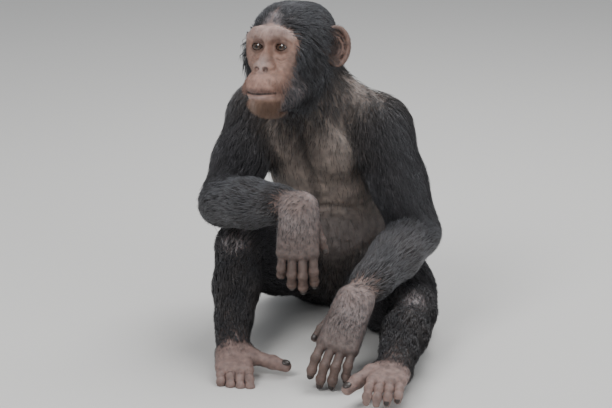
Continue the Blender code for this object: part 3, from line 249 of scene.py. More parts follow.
def settle(points, distance, steps=4, step=0.0003, most=0.004):
    """Draws points onto the surface where the distance is nought."""
    points = points.copy()
    shifts = step * np.eye(3)
    for _ in range(steps):
        here = distance(points)
        slope = np.stack([(distance(points + shift) - here) / step for shift in shifts], axis=1)
        move = (here / np.maximum((slope**2).sum(axis=1), 0.05))[:, None] * slope
        length = np.linalg.norm(move, axis=1, keepdims=True)
        points -= move * np.minimum(1, most / np.maximum(length, 1e-9))
    return points


def chain(points, radii, **settings):
    """Limbs from point to point, with a radius at each."""
    return [
        Limb(start, end, first, last, **settings)
        for start, end, first, last in zip(points, points[1:], radii, radii[1:])
    ]


# %% [markdown]
# ## Where the joints are
#
# The pose is a list of joints. They were found by laying the photograph's landmarks over a projection with
# the same camera, then moving each joint in depth until the limbs had natural lengths.

# %% Joints and sizes
PELVIS = Vector((0.0, 0.022, 0.088))
WAIST = Vector((-0.002, -0.012, 0.168))
CHEST = Vector((-0.010, -0.058, 0.262))
COLLAR = Vector((-0.012, -0.084, 0.338))
NECK = Vector((-0.018, -0.112, 0.392))
HEAD = Vector((-0.030, -0.165, 0.475))
CHEST_TURN = math.radians(-10)
HEAD_TURN = math.radians(-10)
HEAD_LIFT = math.radians(-9)
HEAD_TILT = math.radians(-4)
SHOULDER = {"right": Vector((-0.124, -0.083, 0.342)), "left": Vector((0.100, -0.098, 0.344))}
ELBOW = {"right": Vector((-0.128, -0.228, 0.232)), "left": Vector((0.170, -0.118, 0.178))}
WRIST = {"right": Vector((0.040, -0.328, 0.268)), "left": Vector((0.138, -0.332, 0.124))}
KNUCKLES = {"right": Vector((0.047, -0.352, 0.196)), "left": Vector((0.131, -0.400, 0.064))}
HIP = {"right": Vector((-0.060, 0.008, 0.086)), "left": Vector((0.064, 0.004, 0.082))}
KNEE = {"right": Vector((-0.114, -0.195, 0.149)), "left": Vector((0.190, -0.198, 0.070))}
ANKLE = {"right": Vector((-0.062, -0.360, 0.048)), "left": Vector((0.226, -0.398, 0.050))}
BALL = {"right": Vector((-0.030, -0.432, 0.022)), "left": Vector((0.236, -0.472, 0.046))}
YOKE_END = {"right": Vector((0.004, 0.008, 0.025)), "left": Vector((-0.014, 0.008, 0.022))}
YOKE_RADIUS = {"right": 0.037, "left": 0.035}
UPPER_ARM_RADII = (0.045, 0.041, 0.035)
FOREARM_RADII = (0.036, 0.037, 0.024)
THIGH_RADII = (0.074, 0.062, 0.038)
SHIN_RADII = (0.036, 0.035, 0.025)
THIGH_SAG = {"right": -0.006, "left": -0.014}
DIGIT_PLACES = (-1.5, -0.5, 0.5, 1.5)
FINGER_SPACING = 0.0162
FINGER_RADIUS = 0.0074
JOINT_SWELL = 1.08
FINGER_LENGTHS = {"index": 0.066, "middle": 0.074, "ring": 0.070, "little": 0.056}
TOE_SPACING = 0.0142
TOE_RADIUS = 0.0066
TOE_LENGTHS = {"second": 0.046, "third": 0.048, "fourth": 0.045, "fifth": 0.039}
FINGERS = ("index", "middle", "ring", "little")
TOES = ("second", "third", "fourth", "fifth")
EYE_RADIUS = 0.0112
EYE_OPENING = (0.0125, 0.0090, 0.0062)
ALMOND_PINCH = 0.45
LID = 0.0016
EYE_PLACE = (0.0222, -0.0690, 0.0130)
NOSTRIL = (0.0078, -0.0225)
NOSTRIL_RADII = (0.0048, 0.0080, 0.0040)
MOUTH_HALF = 0.0290
MOUTH_HEIGHT = -0.0620
MOUTH_CURVE = 0.0035
FACE_STEPS = 40
EAR_ROOT = (0.0575, 0.0090, 0.0140)
EAR_HALF_HEIGHT = 0.0305
EAR_HALF_WIDTH = 0.0205
EAR_RIM = 0.0042
EAR_RIDGE = ((-0.25, 0.62), (0.22, 0.42), (0.55, 0.08), (0.55, -0.30), (0.20, -0.60))

# %% [markdown]
# ## The trunk and the limbs
#
# A chimpanzee's trunk is a barrel that hardly narrows at the waist, with broad shoulder blades and a round
# belly. Each limb is a chain of tapered lengths with a ball of muscle or a point of bone added where the
# outline shows one.

# %% Trunk, neck and limbs


def trunk():
    turned = Matrix.Rotation(CHEST_TURN, 3, "Z")
    lean = turned @ Matrix.Rotation(math.radians(14), 3, "X")
    shapes = [
        Ball(PELVIS, (0.104, 0.084, 0.096), soft=0.04),
        Ball(WAIST + Vector((-0.003, -0.016, -0.012)), (0.110, 0.088, 0.086), soft=0.03),
        Ball(WAIST + Vector((0, 0.036, 0.006)), (0.086, 0.058, 0.090), soft=0.03),
        Ball(CHEST, (0.104, 0.078, 0.104), lean, soft=0.03),
        Ball(CHEST + Vector((0.002, 0.040, 0.030)), (0.090, 0.060, 0.092), lean, soft=0.03),
        Ball(COLLAR, (0.100, 0.054, 0.050), turned, soft=0.03),
    ]
    for side, sign in SIDES.items():
        shapes.append(Limb(NECK + Vector((sign * 0.024, 0.026, 0.008)), SHOULDER[side] + YOKE_END[side],
                           0.040, YOKE_RADIUS[side], soft=0.03))
        breast = turned @ Vector((sign * 0.046, -0.046, -0.030))
        blade = turned @ Vector((sign * 0.066, 0.046, -0.034))
        shapes += [
            Ball(COLLAR + breast, (0.047, 0.026, 0.050), lean, soft=0.02),
            Ball(COLLAR + blade, (0.048, 0.040, 0.066), lean, soft=0.03),
            Ball(PELVIS + Vector((sign * 0.046, 0.012, -0.042)), (0.052, 0.058, 0.050), soft=0.03),
        ]
    return shapes


def neck():
    shapes = chain([COLLAR + Vector((0, 0.018, 0.0)), NECK, HEAD + Vector((0, 0.030, -0.020))],
                   [0.066, 0.056, 0.052], soft=0.03)
    return shapes


def upper_arm(side):
    shoulder, elbow = SHOULDER[side], ELBOW[side]
    middle = shoulder.lerp(elbow, 0.5)
    shapes = chain([shoulder, middle, elbow], UPPER_ARM_RADII, soft=0.02)
    muscle = shoulder + Vector((SIDES[side] * 0.006, 0.004, 0.0))
    shapes.append(Ball(muscle, (0.042, 0.044, 0.044), soft=0.02))
    return shapes


def forearm(side):
    elbow, wrist = ELBOW[side], WRIST[side]
    middle = elbow.lerp(wrist, 0.35)
    low = elbow.lerp(wrist, 0.75)
    shapes = chain([elbow, middle, low], (FOREARM_RADII[0], FOREARM_RADII[1], 0.029), soft=0.016)
    _, wide, _ = frame_of(side, "hand")
    shapes.append(Limb(low, wrist, 0.029, FOREARM_RADII[2], flat=0.86, wide=wide, soft=0.016))
    point = elbow + (elbow - SHOULDER[side].lerp(wrist, 0.5)).normalized() * 0.004
    shapes.append(Ball(point, (0.025, 0.025, 0.025), soft=0.016))
    return shapes


def thigh(side):
    hip, knee = HIP[side], KNEE[side]
    middle = hip.lerp(knee, 0.5) + Vector((0, 0, THIGH_SAG[side]))
    return chain([hip, middle, knee], THIGH_RADII, soft=0.03)


def shin(side):
    knee, ankle = KNEE[side], ANKLE[side]
    along = (ankle - knee).normalized()
    back = (Vector((0, 0, -1)) - along * along.dot(Vector((0, 0, -1)))).normalized()
    middle = knee.lerp(ankle, 0.45)
    low = knee.lerp(ankle, 0.8)
    radii = (SHIN_RADII[0], SHIN_RADII[1], 0.027, SHIN_RADII[2])
    shapes = chain([knee, middle, low, ankle], radii, soft=0.016)
    calf_top = knee.lerp(ankle, 0.2) + back * 0.010
    calf_end = knee.lerp(ankle, 0.55) + back * 0.007
    shapes.append(Limb(calf_top, calf_end, 0.026, 0.024, soft=0.02))
    shapes.append(Ball(knee - back * 0.012 - along * 0.006, (0.024, 0.024, 0.024), soft=0.016))
    return shapes

# %% [markdown]
# Hands and feet are set out in frames of their own: along the hand, across towards the thumb, and out of
# the back. Fingers and toes are short chains, each bone bent a little more than the one before.

# %% Hands
HAND_BACK = {"right": Vector((0.30, -0.93, 0.20)), "left": Vector((0.22, -0.55, 0.80))}
FOOT_BACK = {"right": Vector((0.05, -0.15, 1.0)), "left": Vector((0.10, -0.20, 1.0))}


def frame_of(side, part):
    """The directions along, towards the thumb or big toe, and out of the back of a hand or foot."""
    if part == "hand":
        along = (KNUCKLES[side] - WRIST[side]).normalized()
        back = HAND_BACK[side]
    else:
        along = (BALL[side] - ANKLE[side]).normalized()
        back = FOOT_BACK[side]
    back = (back - along * along.dot(back)).normalized()
    across = back.cross(along) * -SIDES[side]
    return along, across, back


def palm(side):
    along, across, back = frame_of(side, "hand")
    wrist, knuckles = WRIST[side], KNUCKLES[side]
    shapes = []
    for place in DIGIT_PLACES:
        knuckle = knuckle_of(side, place)
        start = wrist + across * place * FINGER_SPACING * 0.62
        shapes.append(Limb(start, knuckle, 0.0165, 0.0104, flat=0.9, wide=across, soft=0.012))
        shapes.append(Ball(knuckle + back * 0.0028, (0.0078, 0.0078, 0.0078), soft=0.004))
    turn = axes(across, back, along)
    shapes.append(Ball(wrist.lerp(knuckles, 0.1), (0.026, 0.020, 0.022), turn, soft=0.012))
    pad = wrist.lerp(knuckles, 0.4) + across * 0.018 - back * 0.010
    shapes.append(Limb(pad - along * 0.012, pad + along * 0.018, 0.014, 0.011, soft=0.012))
    return shapes


def axes(first, second, third):
    """A turn whose columns are these three directions."""
    return Matrix((first, second, third)).transposed()


def knuckle_of(side, place):
    """The root of a finger, counted in spacings from the middle of the hand towards the thumb."""
    along, across, back = frame_of(side, "hand")
    bow = 0.0035 * (2.25 - place * place) / 2.25
    return KNUCKLES[side] + across * place * FINGER_SPACING + along * bow + back * bow * 0.5


def digit(root, along, across, lengths, bends, radii, fan=0.0):
    """The bones of a finger or toe, each bent towards the palm or sole from the one before."""
    heading = (along + across * fan).normalized()
    shapes = []
    for length, bend, start_radius, end_radius in zip(lengths, bends, radii, radii[1:]):
        heading = (Matrix.Rotation(bend, 3, across) @ heading).normalized()
        tip = root + heading * length
        shapes.append(Limb(root, tip, start_radius, end_radius, soft=0.003))
        shapes.append(Ball(root, (start_radius * JOINT_SWELL,) * 3, soft=0.003))
        root = tip
    return shapes


FINGER_BENDS = {
    "right": {"index": (12, 30, 22), "middle": (8, 34, 24), "ring": (10, 38, 26), "little": (14, 44, 28)},
    "left": {"index": (-4, 36, 26), "middle": (2, 34, 24), "ring": (4, 36, 26), "little": (8, 40, 28)},
}


def finger(side, name):
    along, across, _ = frame_of(side, "hand")
    place = 1.5 - FINGERS.index(name)
    length = FINGER_LENGTHS[name]
    bends = [math.radians(bend) * -SIDES[side] for bend in FINGER_BENDS[side][name]]
    bones = (length * 0.46, length * 0.30, length * 0.16)
    small = 0.92 if name == "little" else 1.0
    radii = [FINGER_RADIUS * small * share for share in (1.06, 1.0, 0.96, 0.80)]
    return digit(knuckle_of(side, place), along, across, bones, bends, radii, 0.03 * place)


THUMB_BENDS = {"right": (6, 14), "left": (6, 14)}
THUMB_FAN = 0.38


def thumb(side):
    along, across, back = frame_of(side, "hand")
    root = WRIST[side].lerp(KNUCKLES[side], 0.42) + across * 0.0270 - back * 0.010
    bends = [math.radians(bend) * -SIDES[side] for bend in THUMB_BENDS[side]]
    return digit(root, along, across, (0.026, 0.018), bends, (0.0090, 0.0078, 0.0064), THUMB_FAN)

# %% Feet


def foot(side):
    along, across, _ = frame_of(side, "foot")
    ankle, ball = ANKLE[side], BALL[side]
    heel = ankle - along * 0.020 - Vector((0, 0, 0.028))
    shapes = [
        Ball(heel, (0.021, 0.022, 0.020), soft=0.016),
        Limb(ankle, ankle.lerp(ball, 0.6), 0.024, 0.017, flat=0.9, wide=across, soft=0.016),
        Limb(heel + Vector((0, 0, 0.004)), ball - across * 0.014, 0.020, 0.013, flat=0.85, wide=across,
             soft=0.014),
    ]
    for place in DIGIT_PLACES:
        root = toe_root(side, place)
        start = ankle.lerp(ball, 0.45) + across * place * TOE_SPACING * 0.7 - Vector((0, 0, 0.004))
        shapes.append(Limb(start, root, 0.0145, 0.0092, flat=0.9, wide=across, soft=0.010))
    big = big_toe_root(side)
    root = ankle.lerp(ball, 0.2) + across * 0.008 - Vector((0, 0, 0.012))
    shapes.append(Limb(root, big, 0.018, 0.0125, soft=0.012))
    return shapes


def toe_root(side, place):
    along, across, _ = frame_of(side, "foot")
    bow = 0.005 * (1 + place / 1.5)
    return BALL[side] + across * place * TOE_SPACING + along * bow


def big_toe_root(side):
    _, across, _ = frame_of(side, "foot")
    return ANKLE[side].lerp(BALL[side], 0.62) + across * 0.030 - Vector((0, 0, 0.004))


TOE_BENDS = {"right": (4, 30, 34), "left": (16, 30, 24)}


def toe(side, name):
    along, across, _ = frame_of(side, "foot")
    place = 1.5 - TOES.index(name)
    length = TOE_LENGTHS[name]
    bends = [math.radians(bend) * -SIDES[side] for bend in TOE_BENDS[side]]
    bones = (length * 0.42, length * 0.30, length * 0.20)
    radii = [TOE_RADIUS * share for share in (1.12, 1.04, 1.0, 0.86)]
    return digit(toe_root(side, place), along, across, bones, bends, radii, 0.03 * place)


BIG_TOE_FAN = {"right": 2.4, "left": 0.55}


def big_toe(side):
    along, across, _ = frame_of(side, "foot")
    bends = [math.radians(bend) * -SIDES[side] for bend in (10, 12)]
    root = big_toe_root(side)
    radii = (0.0118, 0.0108, 0.0092)
    return digit(root, along, across, (0.034, 0.022), bends, radii, BIG_TOE_FAN[side])

# %% [markdown]
# ## The head
#
# The head has its own frame, turned and tilted as one. The brow is a bar that arches over both eyes, the
# muzzle stands well forward, and the ears are cups with a rolled rim.

# %% Skull, brow and muzzle
HEAD_AXES = (Matrix.Rotation(HEAD_TURN, 3, "Z") @ Matrix.Rotation(HEAD_LIFT, 3, "X")
             @ Matrix.Rotation(HEAD_TILT, 3, "Y"))


def on_head(x, y, z):
    return HEAD + HEAD_AXES @ Vector((x, y, z))


def head_frame(points):
    """Points in the head's own frame."""
    return (points - np.array(HEAD)) @ np.array(HEAD_AXES)


def head_ball(x, y, z, radii, soft=0.012):
    return Ball(on_head(x, y, z), radii, HEAD_AXES, soft)


def head_chain(points, radii, soft=0.008):
    return chain([on_head(*point) for point in points], radii, soft=soft)


def head():
    outer_brow = [(0.039, -0.050, -0.004), (0.040, -0.056, 0.014)]
    inner_brow = [(0.035, -0.068, 0.029), (0.020, -0.079, 0.036)]
    half_brow = outer_brow + inner_brow
    half_radii = [0.0070, 0.0076, 0.0080, 0.0086]
    brow = [(-x, y, z) for x, y, z in half_brow] + [(0, -0.083, 0.033)] + half_brow[::-1]
    shapes = [
        head_ball(0, 0.012, 0.036, (0.060, 0.074, 0.054)),
        head_ball(0, 0.046, 0.004, (0.050, 0.040, 0.044), soft=0.02),
        head_ball(0, -0.034, 0.042, (0.045, 0.040, 0.034), soft=0.02),
        head_ball(0, -0.046, -0.010, (0.046, 0.038, 0.044), soft=0.02),
        head_ball(0, -0.074, -0.045, (0.033, 0.037, 0.031), soft=0.016),
        head_ball(0, -0.084, -0.050, (0.033, 0.033, 0.020), soft=0.014),
        head_ball(0, -0.080, -0.070, (0.028, 0.031, 0.016), soft=0.010),
        head_ball(0, -0.071, -0.078, (0.022, 0.025, 0.014), soft=0.014),
        head_ball(0, -0.022, -0.058, (0.036, 0.050, 0.028), soft=0.02),
        *head_chain(brow, half_radii + [0.0082] + half_radii[::-1], soft=0.012),
        *head_chain([(0, -0.079, 0.020), (0, -0.084, -0.002), (0, -0.0945, -0.0145)],
                    [0.0075, 0.0080, 0.0086], soft=0.010),
    ]
    shapes += both(lambda sign: [
        head_ball(sign * 0.037, -0.052, 0.000, (0.014, 0.020, 0.026), soft=0.016),
        *head_chain([(sign * 0.044, -0.006, -0.026), (sign * 0.026, -0.054, -0.064)], [0.022, 0.020], 0.02),
        head_ball(sign * 0.0100, -0.0920, -0.0175, (0.0094, 0.0095, 0.0078), soft=0.005),
    ])
    return shapes

# %% [markdown]
# Lines are easiest to think of as drawn on the face from in front. Each is a list of spots across and up,
# and every spot is carried straight back until it meets the face.

# %% Lines and hollows of the face


def on_face(spots):
    """The points of the face that lie straight in front of spots given by x and z in the head's frame."""
    flesh = Flesh(head())
    points = np.array([on_head(x, -0.150, z) for x, z in spots])
    backward = np.array(HEAD_AXES @ Vector((0, 1, 0)))
    for _ in range(FACE_STEPS):
        points += np.outer(flesh.distance(points), backward)
    return list(points)


def both(maker):
    """What a maker gives for each side, where its argument is the side's sign."""
    return [shape for sign in SIDES.values() for shape in maker(sign)]


def head_hollows():
    hollows = []
    for sign in SIDES.values():
        x, y, z = EYE_PLACE
        hollows.append(Hollow(on_head(sign * x, y - 0.014, z), (0.0165, 0.0150, 0.0125), HEAD_AXES, 0.010))
        nostril = on_face([(sign * NOSTRIL[0], NOSTRIL[1])])[0]
        hollows.append(Hollow(nostril, NOSTRIL_RADII, HEAD_AXES, 0.002))
    return hollows


def lids():
    """A shell round each eyeball, which the socket's edge blends into."""
    radii = (EYE_RADIUS + LID,) * 3
    return both(lambda sign: [head_ball(sign * EYE_PLACE[0], *EYE_PLACE[1:], radii, soft=0.006)])


def face_strokes(lines, width, depth):
    """The same lines pressed into both sides of the face, each a list of spots by x and z."""
    return [
        Stroke(on_face([(sign * x, z) for x, z in line]), width, depth)
        for sign in SIDES.values() for line in lines
    ]


def head_strokes():
    """The line of the mouth with the lower lip under it, the nose's wings, and the folds round the eyes."""
    mouth = [(x * MOUTH_HALF, MOUTH_HEIGHT + MOUTH_CURVE * x * x) for x in np.linspace(-1, 1, 11)]
    lower_lip = [(x * 0.86, z - 0.0046) for x, z in mouth]
    wing = [(0.0030, -0.0290), (0.0120, -0.0290), (0.0195, -0.0240), (0.0205, -0.0150), (0.0150, -0.0050),
            (0.0115, 0.0030)]
    over = [(0.0105, 0.0150), (0.0160, 0.0215), (0.0230, 0.0235), (0.0300, 0.0215), (0.0345, 0.0160)]
    under = [(0.0120, 0.0050), (0.0180, 0.0010), (0.0250, 0.0005), (0.0315, 0.0040)]
    bag = [(0.0150, -0.0035), (0.0225, -0.0065), (0.0310, -0.0030)]
    return [
        Stroke(on_face(mouth), 0.0026, 0.0040),
        Stroke(on_face(lower_lip), 0.0026, -0.0014),
        *face_strokes([wing], 0.0024, 0.0020),
        *face_strokes([over], 0.0020, 0.0012),
        *face_strokes([under], 0.0018, 0.0010),
        *face_strokes([bag], 0.0024, -0.0010),
    ]

# %% Ears


def ear_frame(side):
    """The directions out along an ear's plane, up, and square to it, and the plane's middle."""
    sign = SIDES[side]
    outward = (HEAD_AXES @ Vector((sign * 0.52, 0.84, 0.05))).normalized()
    upward = (HEAD_AXES @ Vector((0, 0.10, 1))).normalized()
    upward = (upward - outward * outward.dot(upward)).normalized()
    facing = outward.cross(upward).normalized() * sign
    root = on_head(sign * EAR_ROOT[0], EAR_ROOT[1], EAR_ROOT[2])
    return outward, upward, facing, root + outward * EAR_HALF_WIDTH * 0.85


def ear(side):
    """The cup of an ear, its plane turned forwards and out, with a rolled rim round a hollow."""
    outward, upward, facing, middle = ear_frame(side)
    root = middle - outward * EAR_HALF_WIDTH * 0.85
    turn = axes(outward, upward, facing)
    rim = []
    for angle in np.linspace(-2.3, 2.5, 27):
        across = math.cos(angle) * EAR_HALF_WIDTH * (1.0 + 0.10 * math.sin(angle))
        rise = math.sin(angle) * EAR_HALF_HEIGHT
        rim.append(middle + outward * across + upward * rise + facing * (0.005 * math.cos(angle) + 0.001))
    bowl = middle - outward * EAR_HALF_WIDTH * 0.30 - upward * EAR_HALF_HEIGHT * 0.12
    stem = root - outward * 0.003 - upward * 0.006 - facing * 0.004
    shapes = [
        Ball(middle - facing * 0.001, (EAR_HALF_WIDTH, EAR_HALF_HEIGHT * 0.98, 0.0036), turn, soft=0.004),
        Ball(bowl - facing * 0.005, (0.0135, 0.0195, 0.0085), turn, soft=0.006),
        Limb(stem - outward * 0.007 - facing * 0.001, stem, 0.0085, 0.0075, soft=0.008),
        *chain(rim, [EAR_RIM] * len(rim), soft=0.0015),
    ]
    ridge = [
        middle + outward * EAR_HALF_WIDTH * across + upward * EAR_HALF_HEIGHT * rise + facing * 0.0030
        for across, rise in EAR_RIDGE
    ]
    shapes += chain(ridge, [0.0016, 0.0028, 0.0030, 0.0028, 0.0016], soft=0.002)
    return shapes


def ear_hollow(side):
    """The cup in front of an ear's bowl."""
    outward, upward, facing, middle = ear_frame(side)
    turn = axes(outward, upward, facing)
    bowl = middle - outward * EAR_HALF_WIDTH * 0.26 - upward * EAR_HALF_HEIGHT * 0.12
    return Hollow(bowl + facing * 0.0035, (0.0105, 0.0160, 0.0085), turn, 0.004)


def body():
    flesh = {
        "torso": Flesh(trunk()),
        "neck": Flesh(neck(), NECK, 0.14, 0.03),
        "head": Flesh(head(), NECK, 0.10, 0.05),
    }
    for side in SIDES:
        ear_root = on_head(SIDES[side] * EAR_ROOT[0], *EAR_ROOT[1:])
        flesh[side + "_ear"] = Flesh(ear(side), ear_root, 0.035, 0.008)
        flesh[side + "_upper_arm"] = Flesh(upper_arm(side), SHOULDER[side], 0.10, 0.035)
        flesh[side + "_forearm"] = Flesh(forearm(side), ELBOW[side], 0.05, 0.02)
        flesh[side + "_hand"] = Flesh(palm(side), WRIST[side], 0.03, 0.014)
        flesh[side + "_thumb"] = Flesh(thumb(side), WRIST[side].lerp(KNUCKLES[side], 0.4), 0.03, 0.008)
        for place, name in enumerate(FINGERS):
            knuckle = knuckle_of(side, 1.5 - place)
            flesh[f"{side}_{name}_finger"] = Flesh(finger(side, name), knuckle, 0.010, 0.004)
        flesh[side + "_thigh"] = Flesh(thigh(side), HIP[side], 0.10, 0.03)
        flesh[side + "_shin"] = Flesh(shin(side), KNEE[side], 0.05, 0.02)
        flesh[side + "_foot"] = Flesh(foot(side), ANKLE[side], 0.03, 0.014)
        flesh[side + "_big_toe"] = Flesh(big_toe(side), big_toe_root(side), 0.02, 0.008)
        for place, name in enumerate(TOES):
            root = toe_root(side, 1.5 - place)
            flesh[f"{side}_{name}_toe"] = Flesh(toe(side, name), root, 0.010, 0.004)
    hollows = head_hollows() + [ear_hollow(side) for side in SIDES]
    return Body(flesh, hollows, lids(), head_strokes())

# %% [markdown]
# ## One skin
#
# All the shapes are filled into one rough mesh, which a voxel Remesh fuses. Drawing its corners onto the
# smooth blend and fusing it again gives an even mesh without folds. Fingers and toes lie so close
# together that a coarse remesh would web them, so they are fused too thin and only drawn out to their
# full size at the end.

# %% Fusing the shapes
SKIN_PASSES = ((0.0034, 3), (0.0025, 2))
DIGIT_SHRINK = 0.0022
DIGITS = ("thumb", "finger", "toe")


def plain_object(name, bm):
    mesh = bpy.data.meshes.new(name)
    bm.to_mesh(mesh)
    bm.free()
    made = bpy.data.objects.new(name, mesh)
    bpy.context.scene.collection.objects.link(made)
    return made


def apply_modifiers(made):
    depsgraph = bpy.context.evaluated_depsgraph_get()
    old = made.data
    made.data = bpy.data.meshes.new_from_object(made.evaluated_get(depsgraph))
    made.modifiers.clear()
    bpy.data.meshes.remove(old)


def corners_of(made):
    points = np.empty(len(made.data.vertices) * 3)
    made.data.vertices.foreach_get("co", points)
    return points.reshape(-1, 3)


def is_digit(name):
    return name.split("_")[-1] in DIGITS


def shrunk(shape, by):
    """The same shape with smaller radii."""
    thin = copy.copy(shape)
    thin.radii = type(shape.radii)(radius - by for radius in shape.radii)
    return thin


def fused(whole_body):
    """One closed skin round all the flesh."""
    bm = bmesh.new()
    for name, piece in whole_body.flesh.items():
        for shape in piece.shapes:
            shrunk(shape, DIGIT_SHRINK if is_digit(name) else 0).fill(bm)
    for lid in whole_body.lids:
        lid.fill(bm)
    whole = plain_object("skin", bm)
    digits = np.array([is_digit(name) for name in whole_body.flesh])
    for voxel, steps in SKIN_PASSES:
        remesh = whole.modifiers.new("fuse", "REMESH")
        remesh.mode = "VOXEL"
        remesh.voxel_size = voxel
        ease = whole.modifiers.new("ease", "SMOOTH")
        ease.factor = 0.5
        ease.iterations = 1
        apply_modifiers(whole)
        points = corners_of(whole)
        inside = DIGIT_SHRINK * digits[whole_body.owners(points)]
        points = settle(points, lambda some: whole_body.distance(some) + inside, steps, most=voxel)
        whole.data.vertices.foreach_set("co", points.ravel())
    return whole


whole_body = body()
names = list(whole_body.flesh)
skin = fused(whole_body)
print("fused skin:", len(skin.data.polygons), "faces")

# %% [markdown]
# The trunk and the limbs lie under the coat and need few faces. The face, the hands and the feet are
# bare, so they keep theirs and get more: edges are split once on the hands, the toes and the ears, and
# twice on the face and on the front of the trunk, which has folds.

# %% Fewer faces under the coat, more on bare skin
SKIN_TRIANGLES = 62000
SPARE_FINE = 0.9
SPARE_STRENGTH = 0.5
FINE_SHARE = {"ear": 1.0, "hand": 0.9, "thumb": 1.0, "finger": 1.0, "foot": 0.7, "toe": 1.0, "head": 0.6}
FACE_MIDDLE = (0.0, -0.085, -0.020)
FACE_REACH = (0.070, 0.058)
BELLY_FRONT = -0.06
BELLY_SPLITS = 2
SPLIT_ONCE = ("finger", "thumb", "toe", "hand", "ear")


def thin_out(whole):
    points = corners_of(whole)
    fine = [FINE_SHARE.get(name.split("_")[-1], 0.0) for name in names]
    weight = np.array(fine)[whole_body.owners(points)]
    group = whole.vertex_groups.new(name="coarse")
    for level in np.unique(weight):
        group.add(np.flatnonzero(weight == level).tolist(), 1 - level * SPARE_FINE, "REPLACE")
    triangles = sum(len(face.vertices) - 2 for face in whole.data.polygons)
    thin = whole.modifiers.new("thin out", "DECIMATE")
    thin.ratio = SKIN_TRIANGLES / triangles
    thin.use_collapse_triangulate = True
    thin.vertex_group = "coarse"
    thin.vertex_group_factor = SPARE_STRENGTH
    apply_modifiers(whole)
    whole.vertex_groups.clear()


def split_where(whole, chosen):
    """Splits the edges that have both ends among the chosen corners."""
    bm = bmesh.new()
    bm.from_mesh(whole.data)
    edges = [edge for edge in bm.edges if chosen[edge.verts[0].index] and chosen[edge.verts[1].index]]
    bmesh.ops.subdivide_edges(bm, edges=edges, cuts=1, use_grid_fill=True)
    bmesh.ops.triangulate(bm, faces=[face for face in bm.faces if len(face.verts) > 3])
    bm.to_mesh(whole.data)
    bm.free()


def from_face(whole):
    """How far each corner is from the middle of the face."""
    return np.linalg.norm(head_frame(corners_of(whole)) - np.array(FACE_MIDDLE), axis=1)


thin_out(skin)
bare_names = np.array([name.split("_")[-1] in SPLIT_ONCE for name in names])
split_where(skin, bare_names[whole_body.owners(corners_of(skin))])
for reach in FACE_REACH:
    split_where(skin, from_face(skin) < reach)
for _ in range(BELLY_SPLITS):
    on_torso = whole_body.owners(corners_of(skin)) == names.index("torso")
    split_where(skin, on_torso & (corners_of(skin)[:, 1] < BELLY_FRONT))
print("skin:", len(skin.data.polygons), "triangles")

# %% [markdown]
# ## The coat's plan
#
# Each piece of the body has its own row in one table: how long the coat is, how deep the skin lies under
# the solids, how far the tips stand off the skin, and how densely it grows. The values blend where pieces
# meet. A second table says by how much the chest, the forehead, the knees and the wrists thin the coat,
# shorten it and press it down. The face, the ears and the digits are bare.

# %% Length, depth, height, cover and lie
COAT = {
    "torso": (0.040, 0.0040, 0.0095, 1.0),
    "neck": (0.036, 0.0040, 0.0085, 1.0),
    "head": (0.024, 0.0026, 0.0056, 1.0),
    "ear": (0.006, 0.0, 0.001, 0.02),
    "upper_arm": (0.042, 0.0040, 0.0095, 1.0),
    "forearm": (0.036, 0.0036, 0.0075, 0.95),
    "hand": (0.011, 0.0004, 0.0018, 0.20),
    "thigh": (0.038, 0.0040, 0.0085, 0.95),
    "shin": (0.030, 0.0030, 0.0060, 0.70),
    "foot": (0.010, 0.0004, 0.0016, 0.10),
    "digit": (0.005, 0.0, 0.0008, 0.0),
}
SPARSE = {
    "front": (0.97, 0.45, 0.55),
    "bald": (0.70, 0.60, 0.60),
    "knees": (0.80, 0.40, 0.50),
    "wrists": (0.75, 0.50, 0.45),
}
SPARSEST = 0.97
BLEND = 0.010
CHEEK_LONGER = 0.6
CHEEK_FULLER = 0.007
NECK_FRONT = 0.8
BODY_AXIS = (-0.005, 0.02, 0.0)
FRONT_FROM = 0.022
FRONT_FULL = 0.062
BALD_HALF_WIDTH = 0.028
BALD_MIDDLE = 0.045
BALD_TOP = 0.085
KNEECAP_PLACE = Vector((0, -0.024, 0.024))
KNEECAP_SIZE = (0.055, 0.030)
WRIST_SIZE = (0.058, 0.032)


def kind_of(name):
    """The row of the coat's table that a piece of flesh uses."""
    kind = name.split("_", 1)[-1] if name.startswith(("left", "right")) else name
    return kind if kind in COAT else "digit"


def unit(vectors):
    return vectors / np.maximum(np.linalg.norm(vectors, axis=-1, keepdims=True), 1e-9)


def lie_of(name):
    """The way the hair lies on a piece, before the head's own rule."""
    side = name.split("_")[0]
    kind = kind_of(name)
    ends = {
        "upper_arm": (SHOULDER, ELBOW),
        "forearm": (WRIST, ELBOW),
        "hand": (WRIST, KNUCKLES),
        "thigh": (HIP, KNEE),
        "shin": (KNEE, ANKLE),
        "foot": (ANKLE, BALL),
    }
    if kind in ends:
        start, end = ends[kind]
        return (end[side] - start[side]).normalized()
    return Vector((0, 0.15, -1)).normalized()


def rising(values, low, high):
    """0 below low, 1 above high, and smooth between."""
    share = np.clip((values - low) / (high - low), 0, 1)
    return share * share * (3 - 2 * share)


def within(points, spot, reach, edge):
    """1 near a spot and 0 farther off than reach."""
    return rising(reach - np.linalg.norm(points - np.array(spot), axis=1), 0, edge)


def ripple(points, scale, seed):
    """Smooth noise from a few crossed waves, about -1 to 1."""
    rng = np.random.default_rng(seed)
    turns = unit(rng.normal(size=(7, 3)))
    waves = rng.uniform(0.6, 1.8, 7) * 2 * math.pi / scale
    return np.sin(points @ (turns * waves[:, None]).T + rng.uniform(0, 6.28, 7)).sum(axis=1) / 3.2


RAGGED = 0.0022
FACE_ROWS = [-0.102, -0.092, -0.082, -0.065, -0.050, -0.030, -0.010, 0.005, 0.025, 0.036, 0.045, 0.051]
FACE_WIDTHS = [0.0, 0.014, 0.024, 0.034, 0.037, 0.038, 0.046, 0.049, 0.048, 0.042, 0.028, 0.0]


